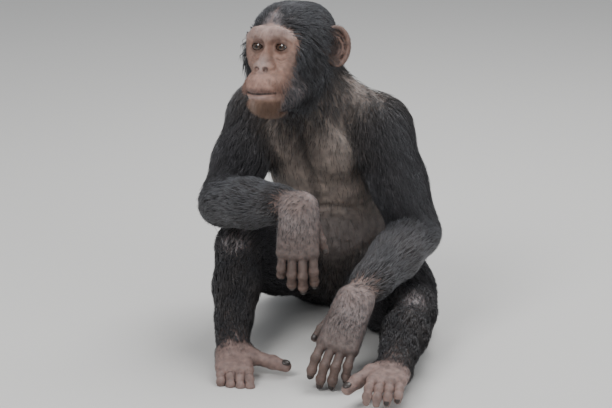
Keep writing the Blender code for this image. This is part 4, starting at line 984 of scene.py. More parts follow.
def face_share(local):
    """1 on the bare face and 0 on the haired head, with a ragged edge."""
    inside = np.interp(local[:, 2], FACE_ROWS, FACE_WIDTHS) - np.abs(local[:, 0])
    inside += RAGGED * ripple(local, 0.008, 5)
    return rising(inside, -0.003, 0.004) * rising(-local[:, 1], 0.034, 0.044)


class Plan:
    """What the coat and the skin are like at points near the skin."""

    def __init__(self, points):
        distances = np.stack([piece.distance(points) for piece in whole_body.flesh.values()], axis=1)
        self.owner = distances.argmin(axis=1)
        weight = np.exp(-(distances - distances.min(axis=1, keepdims=True)) / BLEND)
        weight /= weight.sum(axis=1, keepdims=True)
        table = np.array([COAT[kind_of(name)] for name in names])
        self.length, self.depth, self.stand, self.cover = (weight @ table).T
        lies = np.array([lie_of(name) for name in names])
        self.lie = weight @ lies
        self.points = points
        self.weight = weight
        self.local = head_frame(points)
        self.skull = weight[:, names.index("head")]
        self.face = face_share(self.local) * rising(self.skull, 0.5, 0.9)
        self.comb_head()
        self.thin_front()

    def part(self, *words):
        """How much of each point belongs to pieces whose name holds one of these words."""
        return self.weight[:, [any(word in name for word in words) for name in names]].sum(axis=1)

    def comb_head(self):
        """Hair runs back over the crown, down and back over the cheeks, and hangs long beside the face."""
        x, y, z = self.local.T
        top = rising(z, 0.0, 0.06)
        back = np.stack([0.25 * np.sign(x) * rising(np.abs(x), 0, 0.05), np.ones_like(x), 0 * x], axis=1)
        down = np.stack([0.30 * np.sign(x), 0.40 * np.ones_like(x), -np.ones_like(x)], axis=1)
        lie = (top[:, None] * back + (1 - top)[:, None] * down) @ np.array(HEAD_AXES).T
        self.lie = unit(self.lie * (1 - self.skull)[:, None] + unit(lie) * self.skull[:, None])
        beside = rising(-y, -0.03, 0.02) * rising(np.abs(x), 0.02, 0.035)
        self.cheek = self.skull * beside * rising(0.045 - z, 0, 0.03)
        self.length = self.length * (1 + CHEEK_LONGER * self.cheek)
        self.stand = self.stand + CHEEK_FULLER * self.cheek
        self.cover = self.cover * (1 - self.face)
        self.depth = self.depth * (1 - self.face)

    def close_to(self, spots, size, *words):
        """1 near the spots and 0 farther off than the size says, on pieces named with one of the words."""
        reach, edge = size
        share = np.zeros(len(self.points))
        for spot in spots:
            share = np.maximum(share, within(self.points, spot, reach, edge) * self.part(*words))
        return share

    def left_of(self, column):
        """What sparse hair leaves of a measure, by a column of the second table."""
        left = np.ones(len(self.points))
        for area, amounts in SPARSE.items():
            left = left - amounts[column] * getattr(self, area)
        return left

    def thin_front(self):
        """The chest, the belly, the knees, the wrists and the middle of the forehead have thin hair."""
        turned = np.array(Matrix.Rotation(CHEST_TURN, 3, "Z") @ Vector((0, -1, 0)))
        ahead = (self.points - np.array(BODY_AXIS)) @ turned + 0.008 * ripple(self.points, 0.03, 8)
        trunk = self.part("torso") + NECK_FRONT * self.part("neck")
        self.front = trunk * rising(ahead, FRONT_FROM, FRONT_FULL)
        middle = BALD_HALF_WIDTH - np.abs(self.local[:, 0]) - 0.4 * (self.local[:, 2] - BALD_MIDDLE)
        self.bald = self.skull * rising(-self.local[:, 1], 0.02, 0.05) * rising(middle, 0, 0.016)
        self.bald = self.bald * rising(BALD_TOP - self.local[:, 2], 0, 0.02)
        caps = [KNEE[side] + KNEECAP_PLACE for side in SIDES]
        self.knees = self.close_to(caps, KNEECAP_SIZE, "thigh", "shin")
        self.wrists = self.close_to([WRIST[side] for side in SIDES], WRIST_SIZE, "forearm", "hand")
        thin = sum(amounts[0] * getattr(self, area) for area, amounts in SPARSE.items())
        self.cover = self.cover * (1 - np.clip(thin, 0, SPARSEST))
        self.length = self.length * self.left_of(1)
        self.depth = self.depth * self.left_of(2)
        self.stand = self.stand * self.left_of(2)


plan = Plan(corners_of(skin))
print("coat depth:", plan.depth.min().round(4), "to", plan.depth.max().round(4), "m")

# %% [markdown]
# ## Folds
#
# Bare primate skin is full of folds: bags under the eyes, a net of creases beside the nose, fine upright
# lines in the lips and soft rolls over the belly. They could be sculpted, but a handful of rules places
# them: each fold is a stroke pressed into the blend, drawn as the big lines of the face were.

# %% Wrinkles of the face
UNDER_EYE = (
    [(0.0105, 0.0060), (0.0150, 0.0000), (0.0225, -0.0030), (0.0310, 0.0000)],
    [(0.0120, -0.0010), (0.0180, -0.0070), (0.0260, -0.0085), (0.0345, -0.0040)],
    [(0.0165, -0.0095), (0.0240, -0.0135), (0.0330, -0.0105)],
)
OUTER_CORNER = (
    [(0.0355, 0.0130), (0.0400, 0.0145), (0.0435, 0.0175)],
    [(0.0360, 0.0095), (0.0410, 0.0085), (0.0445, 0.0060)],
    [(0.0350, 0.0065), (0.0395, 0.0030), (0.0425, -0.0015)],
)
OVER_EYE = (
    [(0.0120, 0.0225), (0.0190, 0.0275), (0.0280, 0.0270), (0.0350, 0.0225)],
    [(0.0050, 0.0300), (0.0075, 0.0250), (0.0070, 0.0200)],
)
LIP_LINES = 7
NET_STATIONS = 17
NET_SLANTS = (-0.7, 0.9)
BRIDGE_LINES = (0.0150, 0.0105, 0.0065, 0.0030)


def face_wrinkles():
    """Strokes for the folds of the face, the same on both sides. The net's are drawn at random."""
    rng = np.random.default_rng(21)
    lip = [[(x, -0.0345 - 0.0006 * abs(index)), (x * 1.04, -0.0460), (x * 1.08, -0.0575)]
           for index, x in enumerate(np.linspace(0.0010, 0.0250, LIP_LINES))]
    chin = [[(x, -0.0700), (x * 1.05, -0.0770)] for x in np.linspace(0.002, 0.019, 6)]
    bridge = [[(0.0, z), (0.0040, z - 0.0005), (0.0075, z - 0.0025)] for z in BRIDGE_LINES]
    net = []
    for share in np.linspace(0, 1, NET_STATIONS):
        middle = np.array([0.0195 + 0.0115 * share, -0.0020 - 0.0560 * share]) + rng.normal(0, 0.0008, 2)
        for slant in NET_SLANTS:
            reach = np.array([math.cos(slant), math.sin(slant)]) * rng.uniform(0.0025, 0.0045)
            net.append([tuple(middle - reach), tuple(middle + reach * 0.9)])
    return [
        *face_strokes(UNDER_EYE, 0.0009, 0.0009),
        *face_strokes(OUTER_CORNER, 0.0008, 0.0006),
        *face_strokes(OVER_EYE, 0.0011, 0.0008),
        *face_strokes(lip, 0.0007, 0.00035),
        *face_strokes(chin, 0.0008, 0.0003),
        *face_strokes(bridge, 0.0008, 0.0005),
        *face_strokes(net, 0.0007, 0.0005),
    ]


# %% Folds of the trunk and the hands
BELLY_ROLLS = ((0.206, 0.010), (0.188, 0.016), (0.170, 0.020), (0.148, 0.018))
BELLY_ROLL = (0.0046, 0.0058)
BREASTBONE = (0.0075, 0.0050)
NIPPLE = (0.052, -0.150, 0.292)
NIPPLE_RISE = (0.0026, -0.0036)
JOINT_CREASE = (0.0008, 0.0006)
CREASE_PLACES = (-0.10, 0.04, 0.18)
FOLD_STEPS = 16


def body_folds():
    """Rolls over the belly, the line of the breastbone, the nipples, and creases over the finger joints."""
    lines = []
    for height, bow in BELLY_ROLLS:
        roll = [(0.010 + x, -0.125, height - bow * (x / 0.07) ** 2) for x in np.linspace(-0.066, 0.066, 9)]
        lines.append((roll, *BELLY_ROLL))
    breastbone = [(-0.020 + 0.016 * share, -0.145, 0.330 - 0.110 * share) for share in np.linspace(0, 1, 6)]
    lines.append((breastbone, *BREASTBONE))
    for sign in SIDES.values():
        x, y, z = NIPPLE
        spot = np.array([-0.010 + sign * x, y + 0.012 * sign, z])
        lines.append(([spot, spot + np.array([0.001, 0, 0])], *NIPPLE_RISE))
    for side in SIDES:
        _, across, back = frame_of(side, "hand")
        for name in FINGERS:
            for bone in whole_body.flesh[f"{side}_{name}_finger"].shapes[2:5:2]:
                for share in CREASE_PLACES:
                    middle = bone.start.lerp(bone.end, share) + back * 0.006
                    crease = [middle + across * step for step in (-0.005, 0.0, 0.005)]
                    lines.append((crease, *JOINT_CREASE))
    every = np.array([list(point) for path, _, _ in lines for point in path])
    every = settle(every, whole_body.distance, FOLD_STEPS)
    ends = np.cumsum([len(path) for path, _, _ in lines])[:-1]
    return [Stroke(path, width, depth) for path, (_, width, depth) in zip(np.split(every, ends), lines)]


def fold_depth(points):
    """How deep the folds press the skin at some points."""
    pressed = np.zeros(len(points))
    for fold in folds:
        close = np.linalg.norm(points - fold.centre, axis=1) < fold.radius
        pressed[close] += fold.press(points[close])
    return pressed


folds = face_wrinkles() + body_folds()
print(len(folds), "folds and lines")

# %% [markdown]
# The solids reach out to the tips of the coat, so the skin lies inside them by the coat's depth. Its
# corners are drawn onto the level of the blend that is that deep. What would go through the floor is
# pressed flat on it.

# %% The skin at its own depth
FLOOR_LEVEL = 0.0004
BOX_MARGIN = 0.0003
SKIN_STEPS = 5
SKIN_MOVE = 0.004


def in_box(points):
    """Keeps points inside the solids' box and above the floor."""
    points = np.clip(points, np.array(cad_low) + BOX_MARGIN, np.array(cad_high) - BOX_MARGIN)
    points[:, 2] = np.maximum(points[:, 2], FLOOR_LEVEL)
    return points


def normals_of(made):
    normals = np.empty(len(made.data.vertices) * 3)
    made.data.vertex_normals.foreach_get("vector", normals)
    return normals.reshape(-1, 3)


def set_corners(made, points):
    made.data.vertices.foreach_set("co", points.ravel())
    made.data.update()


def under_solids(points, depth, steps, most):
    """Draws points onto the level that is depth under the solids."""
    return settle(points, lambda some: whole_body.distance(some) + depth, steps, most=most)


points = under_solids(corners_of(skin), plan.depth, SKIN_STEPS, SKIN_MOVE)
set_corners(skin, points)
set_corners(skin, in_box(points - normals_of(skin) * fold_depth(points)[:, None]))

# %% [markdown]
# ## Eyes
#
# The eyeball sits deep in its socket and the lids close round it. The lids were fused with the head, so two
# cuts open them: a ball as large as the eye with a hair's breadth to spare, and an almond in front of it.

# %% Opening the lids
GAP = 0.00035


def cut_away(made, cutter):
    """Takes a cutter out of an object, and removes the cutter."""
    boolean = made.modifiers.new("cut", "BOOLEAN")
    boolean.operation = "DIFFERENCE"
    boolean.solver = "MANIFOLD"
    boolean.object = cutter
    apply_modifiers(made)
    bpy.data.objects.remove(cutter)


def ellipsoid(name, centre, radii, turn, rings=24):
    bm = bmesh.new()
    place = Matrix.Translation(centre) @ turn.to_4x4() @ Matrix.Diagonal((*radii, 1))
    bmesh.ops.create_uvsphere(bm, u_segments=2 * rings, v_segments=rings, radius=1, matrix=place)
    return plain_object(name, bm)


def eye_place(side):
    x, y, z = EYE_PLACE
    return on_head(SIDES[side] * x, y, z)


def open_eyes(whole):
    """Takes the eyeball's room out of each socket, and an almond with pointed corners out of the lids."""
    for side in SIDES:
        socket = (EYE_RADIUS + GAP,) * 3
        cut_away(whole, ellipsoid("socket", eye_place(side), socket, HEAD_AXES))
        almond = ellipsoid("almond", (0, 0, 0), EYE_OPENING, Matrix.Identity(3))
        front = eye_place(side) + HEAD_AXES @ Vector((0, -EYE_RADIUS, 0))
        for vert in almond.data.vertices:
            vert.co.z *= 1 - ALMOND_PINCH * (vert.co.x / EYE_OPENING[0]) ** 2
            vert.co = front + HEAD_AXES @ vert.co
        cut_away(whole, almond)


open_eyes(skin)
print("skin with open lids:", len(skin.data.polygons), "triangles")

# %% [markdown]
# ## Markings
#
# The same colours run through the skin and the coat, so both are worked out by one function of place and
# kept as a colour on each corner of the mesh. Bare skin is pinkish brown on the face, lighter on the muzzle
# and grey-brown on the hands. The brow, the nose and the wrists are paler, partly as a painted highlight.
# Painted shade darkens the eye sockets, the nostrils, the line of the mouth, the cups of the ears and the
# folds. The coat is black, greyer on the forearms, with a painted sheen of grey on the crown.

# %% Colours
FACE = (0.275, 0.165, 0.128)
# Paler brow skin, partly a painted highlight on the upper face.
BROW_AND_HIGHLIGHT = (0.340, 0.235, 0.205)
MUZZLE = (0.330, 0.195, 0.155)
# Paler nose skin, partly a painted highlight.
NOSE_AND_HIGHLIGHT = (0.370, 0.265, 0.235)
CHEEK = (0.078, 0.050, 0.042)
# Painted shade: the eye sockets darkened as if shadowed by the brow's overhang.
EYE_SOCKET_SHADE = (0.045, 0.028, 0.023)
LIPS = (0.150, 0.085, 0.072)
LOWER_LIP = (0.34, 0.230, 0.205)
# Painted shade along the groove of the mouth.
MOUTH_LINE_SHADE = (0.030, 0.016, 0.014)
# Painted shade inside the nostrils.
NOSTRIL_SHADE = (0.020, 0.011, 0.010)
CHIN = (0.200, 0.125, 0.088)
EAR = (0.185, 0.110, 0.085)
# Painted shade in the hollow of each ear.
EAR_CUP_SHADE = (0.055, 0.033, 0.028)
HAND = (0.150, 0.115, 0.108)
KNUCKLE = (0.085, 0.062, 0.056)
FINGER = (0.115, 0.075, 0.062)
FOOT = (0.210, 0.140, 0.122)
TRUNK = (0.255, 0.205, 0.176)
UNDER_COAT = (0.028, 0.025, 0.026)
FOREHEAD = (0.20, 0.172, 0.175)
KNEECAP = (0.300, 0.262, 0.262)
BELLY = (0.135, 0.112, 0.104)
LIMB = (0.080, 0.067, 0.064)
# Pale grey wrist skin, paler still as a painted highlight.
WRIST_SKIN_AND_HIGHLIGHT = (0.215, 0.190, 0.190)
# Painted shade in the folds and wrinkles.
CREASE_SHADE = (0.030, 0.023, 0.021)
KNUCKLE_REACH = 0.015
CUP_REACH = 0.019


def painted(colours, *coats):
    """Lays colours over others in turn, each by its share at each point."""
    for colour, share in coats:
        share = np.clip(share, 0, 1)[:, None]
        colours = colours * (1 - share) + np.array(colour) * share
    return colours


def near(plan, spot, reach):
    """1 at a spot on the head and 0 at reach from it, on both sides of the head."""
    local = plan.local.copy()
    local[:, 0] = np.abs(local[:, 0])
    return rising(1 - np.linalg.norm((local - np.array(spot)) / np.array(reach), axis=1), 0, 0.8)


def face_coats(plan):
    """The colours of the face, each with its share at each point."""
    face, height = plan.face, plan.local[:, 2]
    eye_x, _, eye_z = EYE_PLACE
    line = MOUTH_HEIGHT + MOUTH_CURVE * (plan.local[:, 0] / MOUTH_HALF) ** 2
    inside = rising(MOUTH_HALF * 1.04 - np.abs(plan.local[:, 0]), 0, 0.003)
    nostril = (NOSTRIL[0], -0.0995, NOSTRIL[1] + 0.0005)
    return (
        (FACE, face),
        # Paler upper face, partly a painted highlight.
        (BROW_AND_HIGHLIGHT, face * rising(height, 0.018, 0.032)),
        (CHEEK, 0.95 * face * near(plan, (0.047, -0.045, -0.030), (0.026, 0.06, 0.070))),
        (MUZZLE, face * near(plan, (0.0, -0.11, -0.046), (0.034, 0.05, 0.032))),
        (CHIN, face * rising(-height, 0.066, 0.076)),
        # Pale nose, partly a painted highlight.
        (NOSE_AND_HIGHLIGHT, face * near(plan, (0.0, -0.105, -0.014), (0.020, 0.03, 0.022))),
        # Painted shade in the sockets under the brow.
        (EYE_SOCKET_SHADE, 0.9 * face * near(plan, (eye_x, -0.080, eye_z + 0.001), (0.0195, 0.03, 0.0140))),
        (LIPS, face * near(plan, (0.0, -0.105, -0.057), (0.040, 0.04, 0.008))),
        (LOWER_LIP, face * near(plan, (0.0, -0.105, -0.0675), (0.036, 0.04, 0.0048))),
        # Painted shade in the mouth's groove.
        (MOUTH_LINE_SHADE, face * inside * rising(0.0022 - np.abs(height - line), 0, 0.0012)),
        # Painted shade in the nostril hollows.
        (NOSTRIL_SHADE, face * near(plan, nostril, (0.0062, 0.010, 0.0052))),
    )


def skin_colours(plan):
    points = plan.points
    knuckles = plan.part("hand", "finger")
    cups = [ear_hollow(side).centre for side in SIDES]
    colours = painted(
        np.tile(np.array(UNDER_COAT), (len(points), 1)),
        (LIMB, plan.part("forearm", "shin")),
        (TRUNK, plan.front * (0.80 + 0.20 * ripple(points, 0.03, 6))),
        (BELLY, plan.front * rising(0.215 - points[:, 2], 0, 0.04)),
        (FOREHEAD, 0.9 * plan.bald),
        (KNEECAP, 0.8 * plan.knees),
        (HAND, plan.part("hand")),
        # Pale wrist skin, partly a painted highlight.
        (WRIST_SKIN_AND_HIGHLIGHT, 0.8 * plan.wrists),
        (FINGER, plan.part("finger", "thumb")),
        (FOOT, plan.part("foot", "toe")),
        *((KNUCKLE, 0.7 * within(points, knuckle_of(side, place), KNUCKLE_REACH, 0.010) * knuckles)
          for side in SIDES for place in DIGIT_PLACES),
        *face_coats(plan),
        # Painted shade: darker the deeper a fold presses the skin.
        (CREASE_SHADE, 0.75 * rising(fold_depth(points), 0.0002, 0.0030)),
        (EAR, plan.part("ear")),
        # Painted shade in the ear's cup.
        *((EAR_CUP_SHADE, within(points, cup, CUP_REACH, 0.010) * plan.part("ear")) for cup in cups),
    )
    return np.clip(colours * (1 + 0.10 * ripple(points, 0.012, 1))[:, None], 0.005, 0.9)


def float_colours(mesh, name, colours):
    """Keeps a colour on each corner of a mesh."""
    layer = mesh.color_attributes.new(name, "FLOAT_COLOR", "POINT")
    layer.data.foreach_set("color", np.column_stack([colours, np.ones(len(colours))]).ravel())


plan = Plan(corners_of(skin))
float_colours(skin.data, "marking", skin_colours(plan))
bare = skin.data.attributes.new("bare", "FLOAT", "POINT")
bare.data.foreach_set("value", np.clip(1 - plan.cover, 0, 1).astype(np.float32))
print("marked", len(plan.points), "corners of the skin")

# %% [markdown]
# ## The skin's finish
#
# Bare primate skin is finely creased, slightly shiny on its ridges and mottled. The creases are a cell
# pattern stretched by noise, built once as a node group and used by the skin with its own scale.

# %% A group for creases and mottling


def node_in(tree, kind, place, values=None, **settings):
    """Adds a node at a place in the tree, with its settings and the values of its inputs."""
    node = tree.nodes.new(kind)
    node.location = place
    for key, value in settings.items():
        setattr(node, key, value)
    give(node, values or {})
    return node


def give(node, values):
    """Sets inputs of a node."""
    for key, value in values.items():
        node.inputs[key].default_value = value


def socket(tree, name, kind, value=None, in_out="INPUT"):
    """Adds a named input or output to a tree."""
    made = tree.interface.new_socket(name, in_out=in_out, socket_type=kind)
    if value is not None:
        made.default_value = value


def wire(tree, *wires):
    """Links nodes of a tree, each wire being a node, its output, the next node and its input."""
    for start, output, end, entry in wires:
        tree.links.new(start.outputs[output], end.inputs[entry])


def new_material(name):
    """A material, its tree and its shader."""
    material = bpy.data.materials.new(name)
    material.use_nodes = True
    return material, material.node_tree, material.node_tree.nodes["Principled BSDF"]


def crease_group():
    tree = bpy.data.node_groups.new("creases", "ShaderNodeTree")
    socket(tree, "Place", "NodeSocketVector")
    socket(tree, "Scale", "NodeSocketFloat", 600)
    for name in ("Height", "Mottle"):
        socket(tree, name, "NodeSocketFloat", in_out="OUTPUT")
    entry = node_in(tree, "NodeGroupInput", (-800, 0))
    leave = node_in(tree, "NodeGroupOutput", (600, 0))
    cells = node_in(tree, "ShaderNodeTexVoronoi", (-300, 150), feature="DISTANCE_TO_EDGE")
    noise = node_in(tree, "ShaderNodeTexNoise", (-300, -150), {"Detail": 4})
    blotch = node_in(tree, "ShaderNodeTexNoise", (-300, -400), {"Scale": 90, "Detail": 5})
    ramp = node_in(tree, "ShaderNodeMapRange", (-50, 150), {"From Max": 0.25})
    add = node_in(tree, "ShaderNodeMath", (200, 50), operation="ADD")
    wire(
        tree,
        (entry, "Place", cells, "Vector"),
        (entry, "Scale", cells, "Scale"),
        (entry, "Place", noise, "Vector"),
        (entry, "Scale", noise, "Scale"),
        (entry, "Place", blotch, "Vector"),
        (cells, "Distance", ramp, "Value"),
        (ramp, "Result", add, 0),
        (noise, "Fac", add, 1),
        (add, "Value", leave, "Height"),
        (blotch, "Fac", leave, "Mottle"),
    )
    return tree


creases = crease_group()

# %% The skin's material
MOTTLING = {"From Min": 0.3, "From Max": 0.7, "To Min": 0.72, "To Max": 1.22}
SKIN_ROUGHNESS = {"To Min": 0.62, "To Max": 0.42}
LIGHT_UNDER_SKIN = {
    "Subsurface Weight": 0.12,
    "Subsurface Radius": (1.0, 0.35, 0.2),
    "Subsurface Scale": 0.004,
}


def skin_material():
    material, tree, shader = new_material("bare_skin")
    place = node_in(tree, "ShaderNodeTexCoord", (-1100, 0))
    marking = node_in(tree, "ShaderNodeAttribute", (-700, 300), attribute_name="marking")
    group = node_in(tree, "ShaderNodeGroup", (-800, -50), {"Scale": 520}, node_tree=creases)
    tone = node_in(tree, "ShaderNodeMapRange", (-550, 50), MOTTLING)
    colour = node_in(tree, "ShaderNodeMix", (-300, 200), {"Factor": 1},
                     data_type="RGBA", blend_type="MULTIPLY")
    gloss = node_in(tree, "ShaderNodeMapRange", (-300, -50), SKIN_ROUGHNESS)
    bump = node_in(tree, "ShaderNodeBump", (-300, -300), {"Strength": 0.5, "Distance": 0.0007})
    wire(
        tree,
        (place, "Object", group, "Place"),
        (group, "Mottle", tone, "Value"),
        (marking, "Color", colour, "A"),
        (tone, "Result", colour, "B"),
        (colour, "Result", shader, "Base Color"),
        (group, "Mottle", gloss, "Value"),
        (gloss, "Result", shader, "Roughness"),
        (group, "Height", bump, "Height"),
        (bump, "Normal", shader, "Normal"),
    )
    give(shader, LIGHT_UNDER_SKIN)
    return material


skin.data.materials.clear()
skin.data.materials.append(skin_material())
skin.data.shade_smooth()

# %% [markdown]
# The eye is nearly black from a step away: a dark brown iris in a brown white, under a wet, glossy front.
# The colours follow the angle from the way the eye looks, which each corner of the ball keeps as an
# attribute.

# %% Eyeballs
IRIS = 0.55
PUPIL = 0.22
GAZE = (0.04, -1.0, -0.02)
EYE_STOPS = (
    (PUPIL, (0.002, 0.002, 0.002)),
    (PUPIL + 0.03, (0.060, 0.026, 0.010)),
    (IRIS - 0.04, (0.035, 0.014, 0.006)),
    (IRIS + 0.03, (0.026, 0.016, 0.012)),
    (0.95, (0.032, 0.021, 0.016)),
)


def eye_material():
    material, tree, shader = new_material("eye")
    angle = node_in(tree, "ShaderNodeAttribute", (-700, 0), attribute_name="gaze")
    ramp = node_in(tree, "ShaderNodeValToRGB", (-400, 0))
    stops = ramp.color_ramp.elements
    stops[0].position, stops[1].position = EYE_STOPS[0][0], EYE_STOPS[-1][0]
    for position, _ in EYE_STOPS[1:-1]:
        stops.new(position)
    for stop, (_, shade) in zip(stops, EYE_STOPS):
        stop.color = (*shade, 1)
    wire(
        tree,
        (angle, "Fac", ramp, "Fac"),
        (ramp, "Color", shader, "Base Color"),
    )
    give(shader, {"Roughness": 0.08, "Coat Weight": 0.6, "Coat Roughness": 0.03})
    return material


eye_finish = eye_material()
eyes = []
for side in SIDES:
    eye = ellipsoid(side + "_eyeball", eye_place(side), (EYE_RADIUS,) * 3, HEAD_AXES, rings=32)
    look = np.array((HEAD_AXES @ Vector(GAZE)).normalized())
    away = unit(corners_of(eye) - np.array(eye_place(side)))
    gaze = eye.data.attributes.new("gaze", "FLOAT", "POINT")
    gaze.data.foreach_set("value", (np.arccos(np.clip(away @ look, -1, 1))).astype(np.float32))
    eye.data.materials.append(eye_finish)
    eye.data.shade_smooth()
    eyes.append(eye)

# %% [markdown]
# ## Nails
#
# Twenty nails are one shape in twenty places, so Geometry Nodes set it out: each point of a small mesh
# carries a turn and a size, and an instance of the nail goes on every point. The export drops instances,
# so the tree ends by making them real.

# %% A tree that sets one shape out on points
NAIL = {"Half width": 0.74, "Half length": 0.86, "Half thickness": 0.34}


def named(tree, place, name, kind):
    """A node that reads an attribute of the points."""
    return node_in(tree, "GeometryNodeInputNamedAttribute", place, {"Name": name}, data_type=kind)


def nail_tree():
    tree = bpy.data.node_groups.new("nails on points", "GeometryNodeTree")
    socket(tree, "Points", "NodeSocketGeometry")
    for name in NAIL:
        socket(tree, name, "NodeSocketFloat", 1.0)
    socket(tree, "Material", "NodeSocketMaterial")
    socket(tree, "Nails", "NodeSocketGeometry", in_out="OUTPUT")
    entry = node_in(tree, "NodeGroupInput", (-900, 0))
    ball = node_in(tree, "GeometryNodeMeshUVSphere", (-700, -200), {"Segments": 16, "Rings": 10})
    sizes = node_in(tree, "ShaderNodeCombineXYZ", (-700, -450))
    flatten = node_in(tree, "GeometryNodeTransform", (-450, -250))
    turn = named(tree, (-450, 250), "turn", "FLOAT_VECTOR")
    size = named(tree, (-450, 50), "size", "FLOAT")
    set_out = node_in(tree, "GeometryNodeInstanceOnPoints", (-150, 0))
    real = node_in(tree, "GeometryNodeRealizeInstances", (50, 0))
    finish = node_in(tree, "GeometryNodeSetMaterial", (250, 0))
    leave = node_in(tree, "NodeGroupOutput", (450, 0))
    wire(tree, *((entry, name, sizes, axis) for name, axis in zip(NAIL, "XYZ")))
    wire(
        tree,
        (ball, "Mesh", flatten, "Geometry"),
        (sizes, "Vector", flatten, "Scale"),
        (entry, "Points", set_out, "Points"),
        (flatten, "Geometry", set_out, "Instance"),
        (turn, "Attribute", set_out, "Rotation"),
        (size, "Attribute", set_out, "Scale"),
        (set_out, "Instances", real, "Geometry"),
        (real, "Geometry", finish, "Geometry"),
        (entry, "Material", finish, "Material"),
        (finish, "Geometry", leave, "Nails"),
    )
    return tree


def run_tree(made, tree, values):
    """Runs a tree on an object with its inputs set by name, and keeps the result as a plain mesh."""
    modifier = made.modifiers.new("nodes", "NODES")
    modifier.node_group = tree
    for item in tree.interface.items_tree:
        if item.in_out == "INPUT" and item.name in values:
            modifier[item.identifier] = values[item.name]
    made.data.update()
    depsgraph = bpy.context.evaluated_depsgraph_get()
    result = bpy.data.meshes.new_from_object(made.evaluated_get(depsgraph))
    made.modifiers.remove(modifier)
    made.data = result
    return made


# %% [markdown]
# A nail sits on the back of the last bone, its length along the bone. The frame for each comes from the
# same hand and foot frames that placed the fingers and toes.

# %% Setting out the nails
def plain_material(name, colour, roughness):
    material, _, shader = new_material(name)
    give(shader, {"Base Color": (*colour, 1), "Roughness": roughness})
    return material


LOWEST_NAIL = 0.004
NAIL_MARGIN = 0.5


def nail_spots(part, names_on_side):
    """For each digit, where its nail is, how it is turned and how large the digit is."""
    spots = []
    for side in SIDES:
        along, across, back = frame_of(side, part)
        hand_turn = math.copysign(1, along.cross(across).dot(back))
        for name in names_on_side:
            bones = whole_body.flesh[f"{side}_{name}"].shapes[-2::-2]
            bone = next(shape for shape in bones if shape.end[2] > LOWEST_NAIL)
            heading = (bone.end - bone.start).normalized()
            stands_apart = name in ("thumb", "big_toe")
            up_side = back if stands_apart else heading.cross(across) * hand_turn
            wide = heading.cross(up_side).normalized()
            up_side = wide.cross(heading)
            radius = bone.radii[1]
            place = bone.end - heading * radius * 0.12 + up_side * radius * 0.82
            margin = NAIL_MARGIN * radius
            place = Vector(np.clip(place, np.array(cad_low) + margin, np.array(cad_high) - margin))
            spots.append((place, axes(wide, heading, up_side).to_euler(), radius))
    return spots


def nails(name, spots, finish):
    bm = bmesh.new()
    for place, _, _ in spots:
        bm.verts.new(place)
    made = plain_object(name, bm)
    turn = made.data.attributes.new("turn", "FLOAT_VECTOR", "POINT")
    turn.data.foreach_set("vector", np.array([list(euler) for _, euler, _ in spots]).ravel())
    size = made.data.attributes.new("size", "FLOAT", "POINT")
    size.data.foreach_set("value", [radius for _, _, radius in spots])
    run_tree(made, nail_tree(), {**NAIL, "Material": finish})
    made.data.shade_smooth()
    return made


nail_finish = plain_material("nail", (0.030, 0.022, 0.019), 0.38)
finger_names = ["thumb", *[name + "_finger" for name in FINGERS]]
toe_names = ["big_toe", *[name + "_toe" for name in TOES]]
finger_nails = nails("finger_nails", nail_spots("hand", finger_names), nail_finish)
toe_nails = nails("toe_nails", nail_spots("foot", toe_names), nail_finish)
print("nails:", len(finger_nails.data.polygons) + len(toe_nails.data.polygons), "faces")

# %% [markdown]
# ## The coat
#
# Single hairs would be far too many, and the export drops hair systems. The coat is therefore made of
# tufts: closed, three-sided spikes that start below the skin, bend over and lie along the body. They are
# joined meshes from arrays, with places drawn evenly by area from a fixed seed, more where the coat is
# dense.

# %% Drawing places for tufts
TUFTS = 120000
MOST_IN_PIECE = 19500
ROOTS_FROM = 0.004


def triangles_of(made):
    made.data.calc_loop_triangles()
    rows = np.empty(len(made.data.loop_triangles) * 3, dtype=int)
    made.data.loop_triangles.foreach_get("vertices", rows)
    return rows.reshape(-1, 3)


class Places:
    """Places on the skin, with whatever the skin's corners hold blended at each."""

    def __init__(self, corners, triangles, chance, count, rng):
        edges = corners[triangles[:, 1:]] - corners[triangles[:, :1]]
        area = np.linalg.norm(np.cross(edges[:, 0], edges[:, 1]), axis=1) / 2
        share = np.cumsum(area * chance[triangles].mean(axis=1))
        draws = (np.arange(count) + rng.uniform(0, 1, count)) / count * share[-1]
        self.rows = triangles[np.minimum(np.searchsorted(share, draws), len(triangles) - 1)]
        first = np.sqrt(rng.uniform(0, 1, count))
        second = rng.uniform(0, 1, count)
        self.blend = np.stack([1 - first, first * (1 - second), first * second], axis=1)

    def of(self, values):
        picked = values[self.rows]
        blend = self.blend if picked.ndim == 2 else self.blend[:, :, None]
        return (picked * blend).sum(axis=1)


rng = np.random.default_rng(7)
skin_triangles = triangles_of(skin)
skin_corners = corners_of(skin)
skin_normals = normals_of(skin)
lifted = skin_corners[:, 2] > ROOTS_FROM
size = 0.55 + 0.45 * rising(plan.length, 0.010, 0.03)
chance = np.where(lifted, plan.cover, 0) / size**1.5
places = Places(skin_corners, skin_triangles, chance, TUFTS, rng)

# %% [markdown]
# A tuft's colour, length and lean vary a little from its neighbours'. Locks of tufts lean together, because
# the lean also follows a slow ripple over the body.

# %% Shaping tufts
BLACK = (0.010, 0.0095, 0.011)
BROWN = (0.030, 0.024, 0.022)
GREY = (0.072, 0.068, 0.074)
ARM_GREY = (0.080, 0.068, 0.064)
FRONT_BROWN = (0.115, 0.093, 0.078)
TUFT_WIDTH = 0.00085
TUFT_FACES = np.array([
    (0, 2, 1), (0, 1, 4), (0, 4, 3), (1, 2, 5), (1, 5, 4),
    (2, 0, 3), (2, 3, 5), (3, 4, 6), (4, 5, 6), (5, 3, 6),
])
TUFT_CORNERS = 7


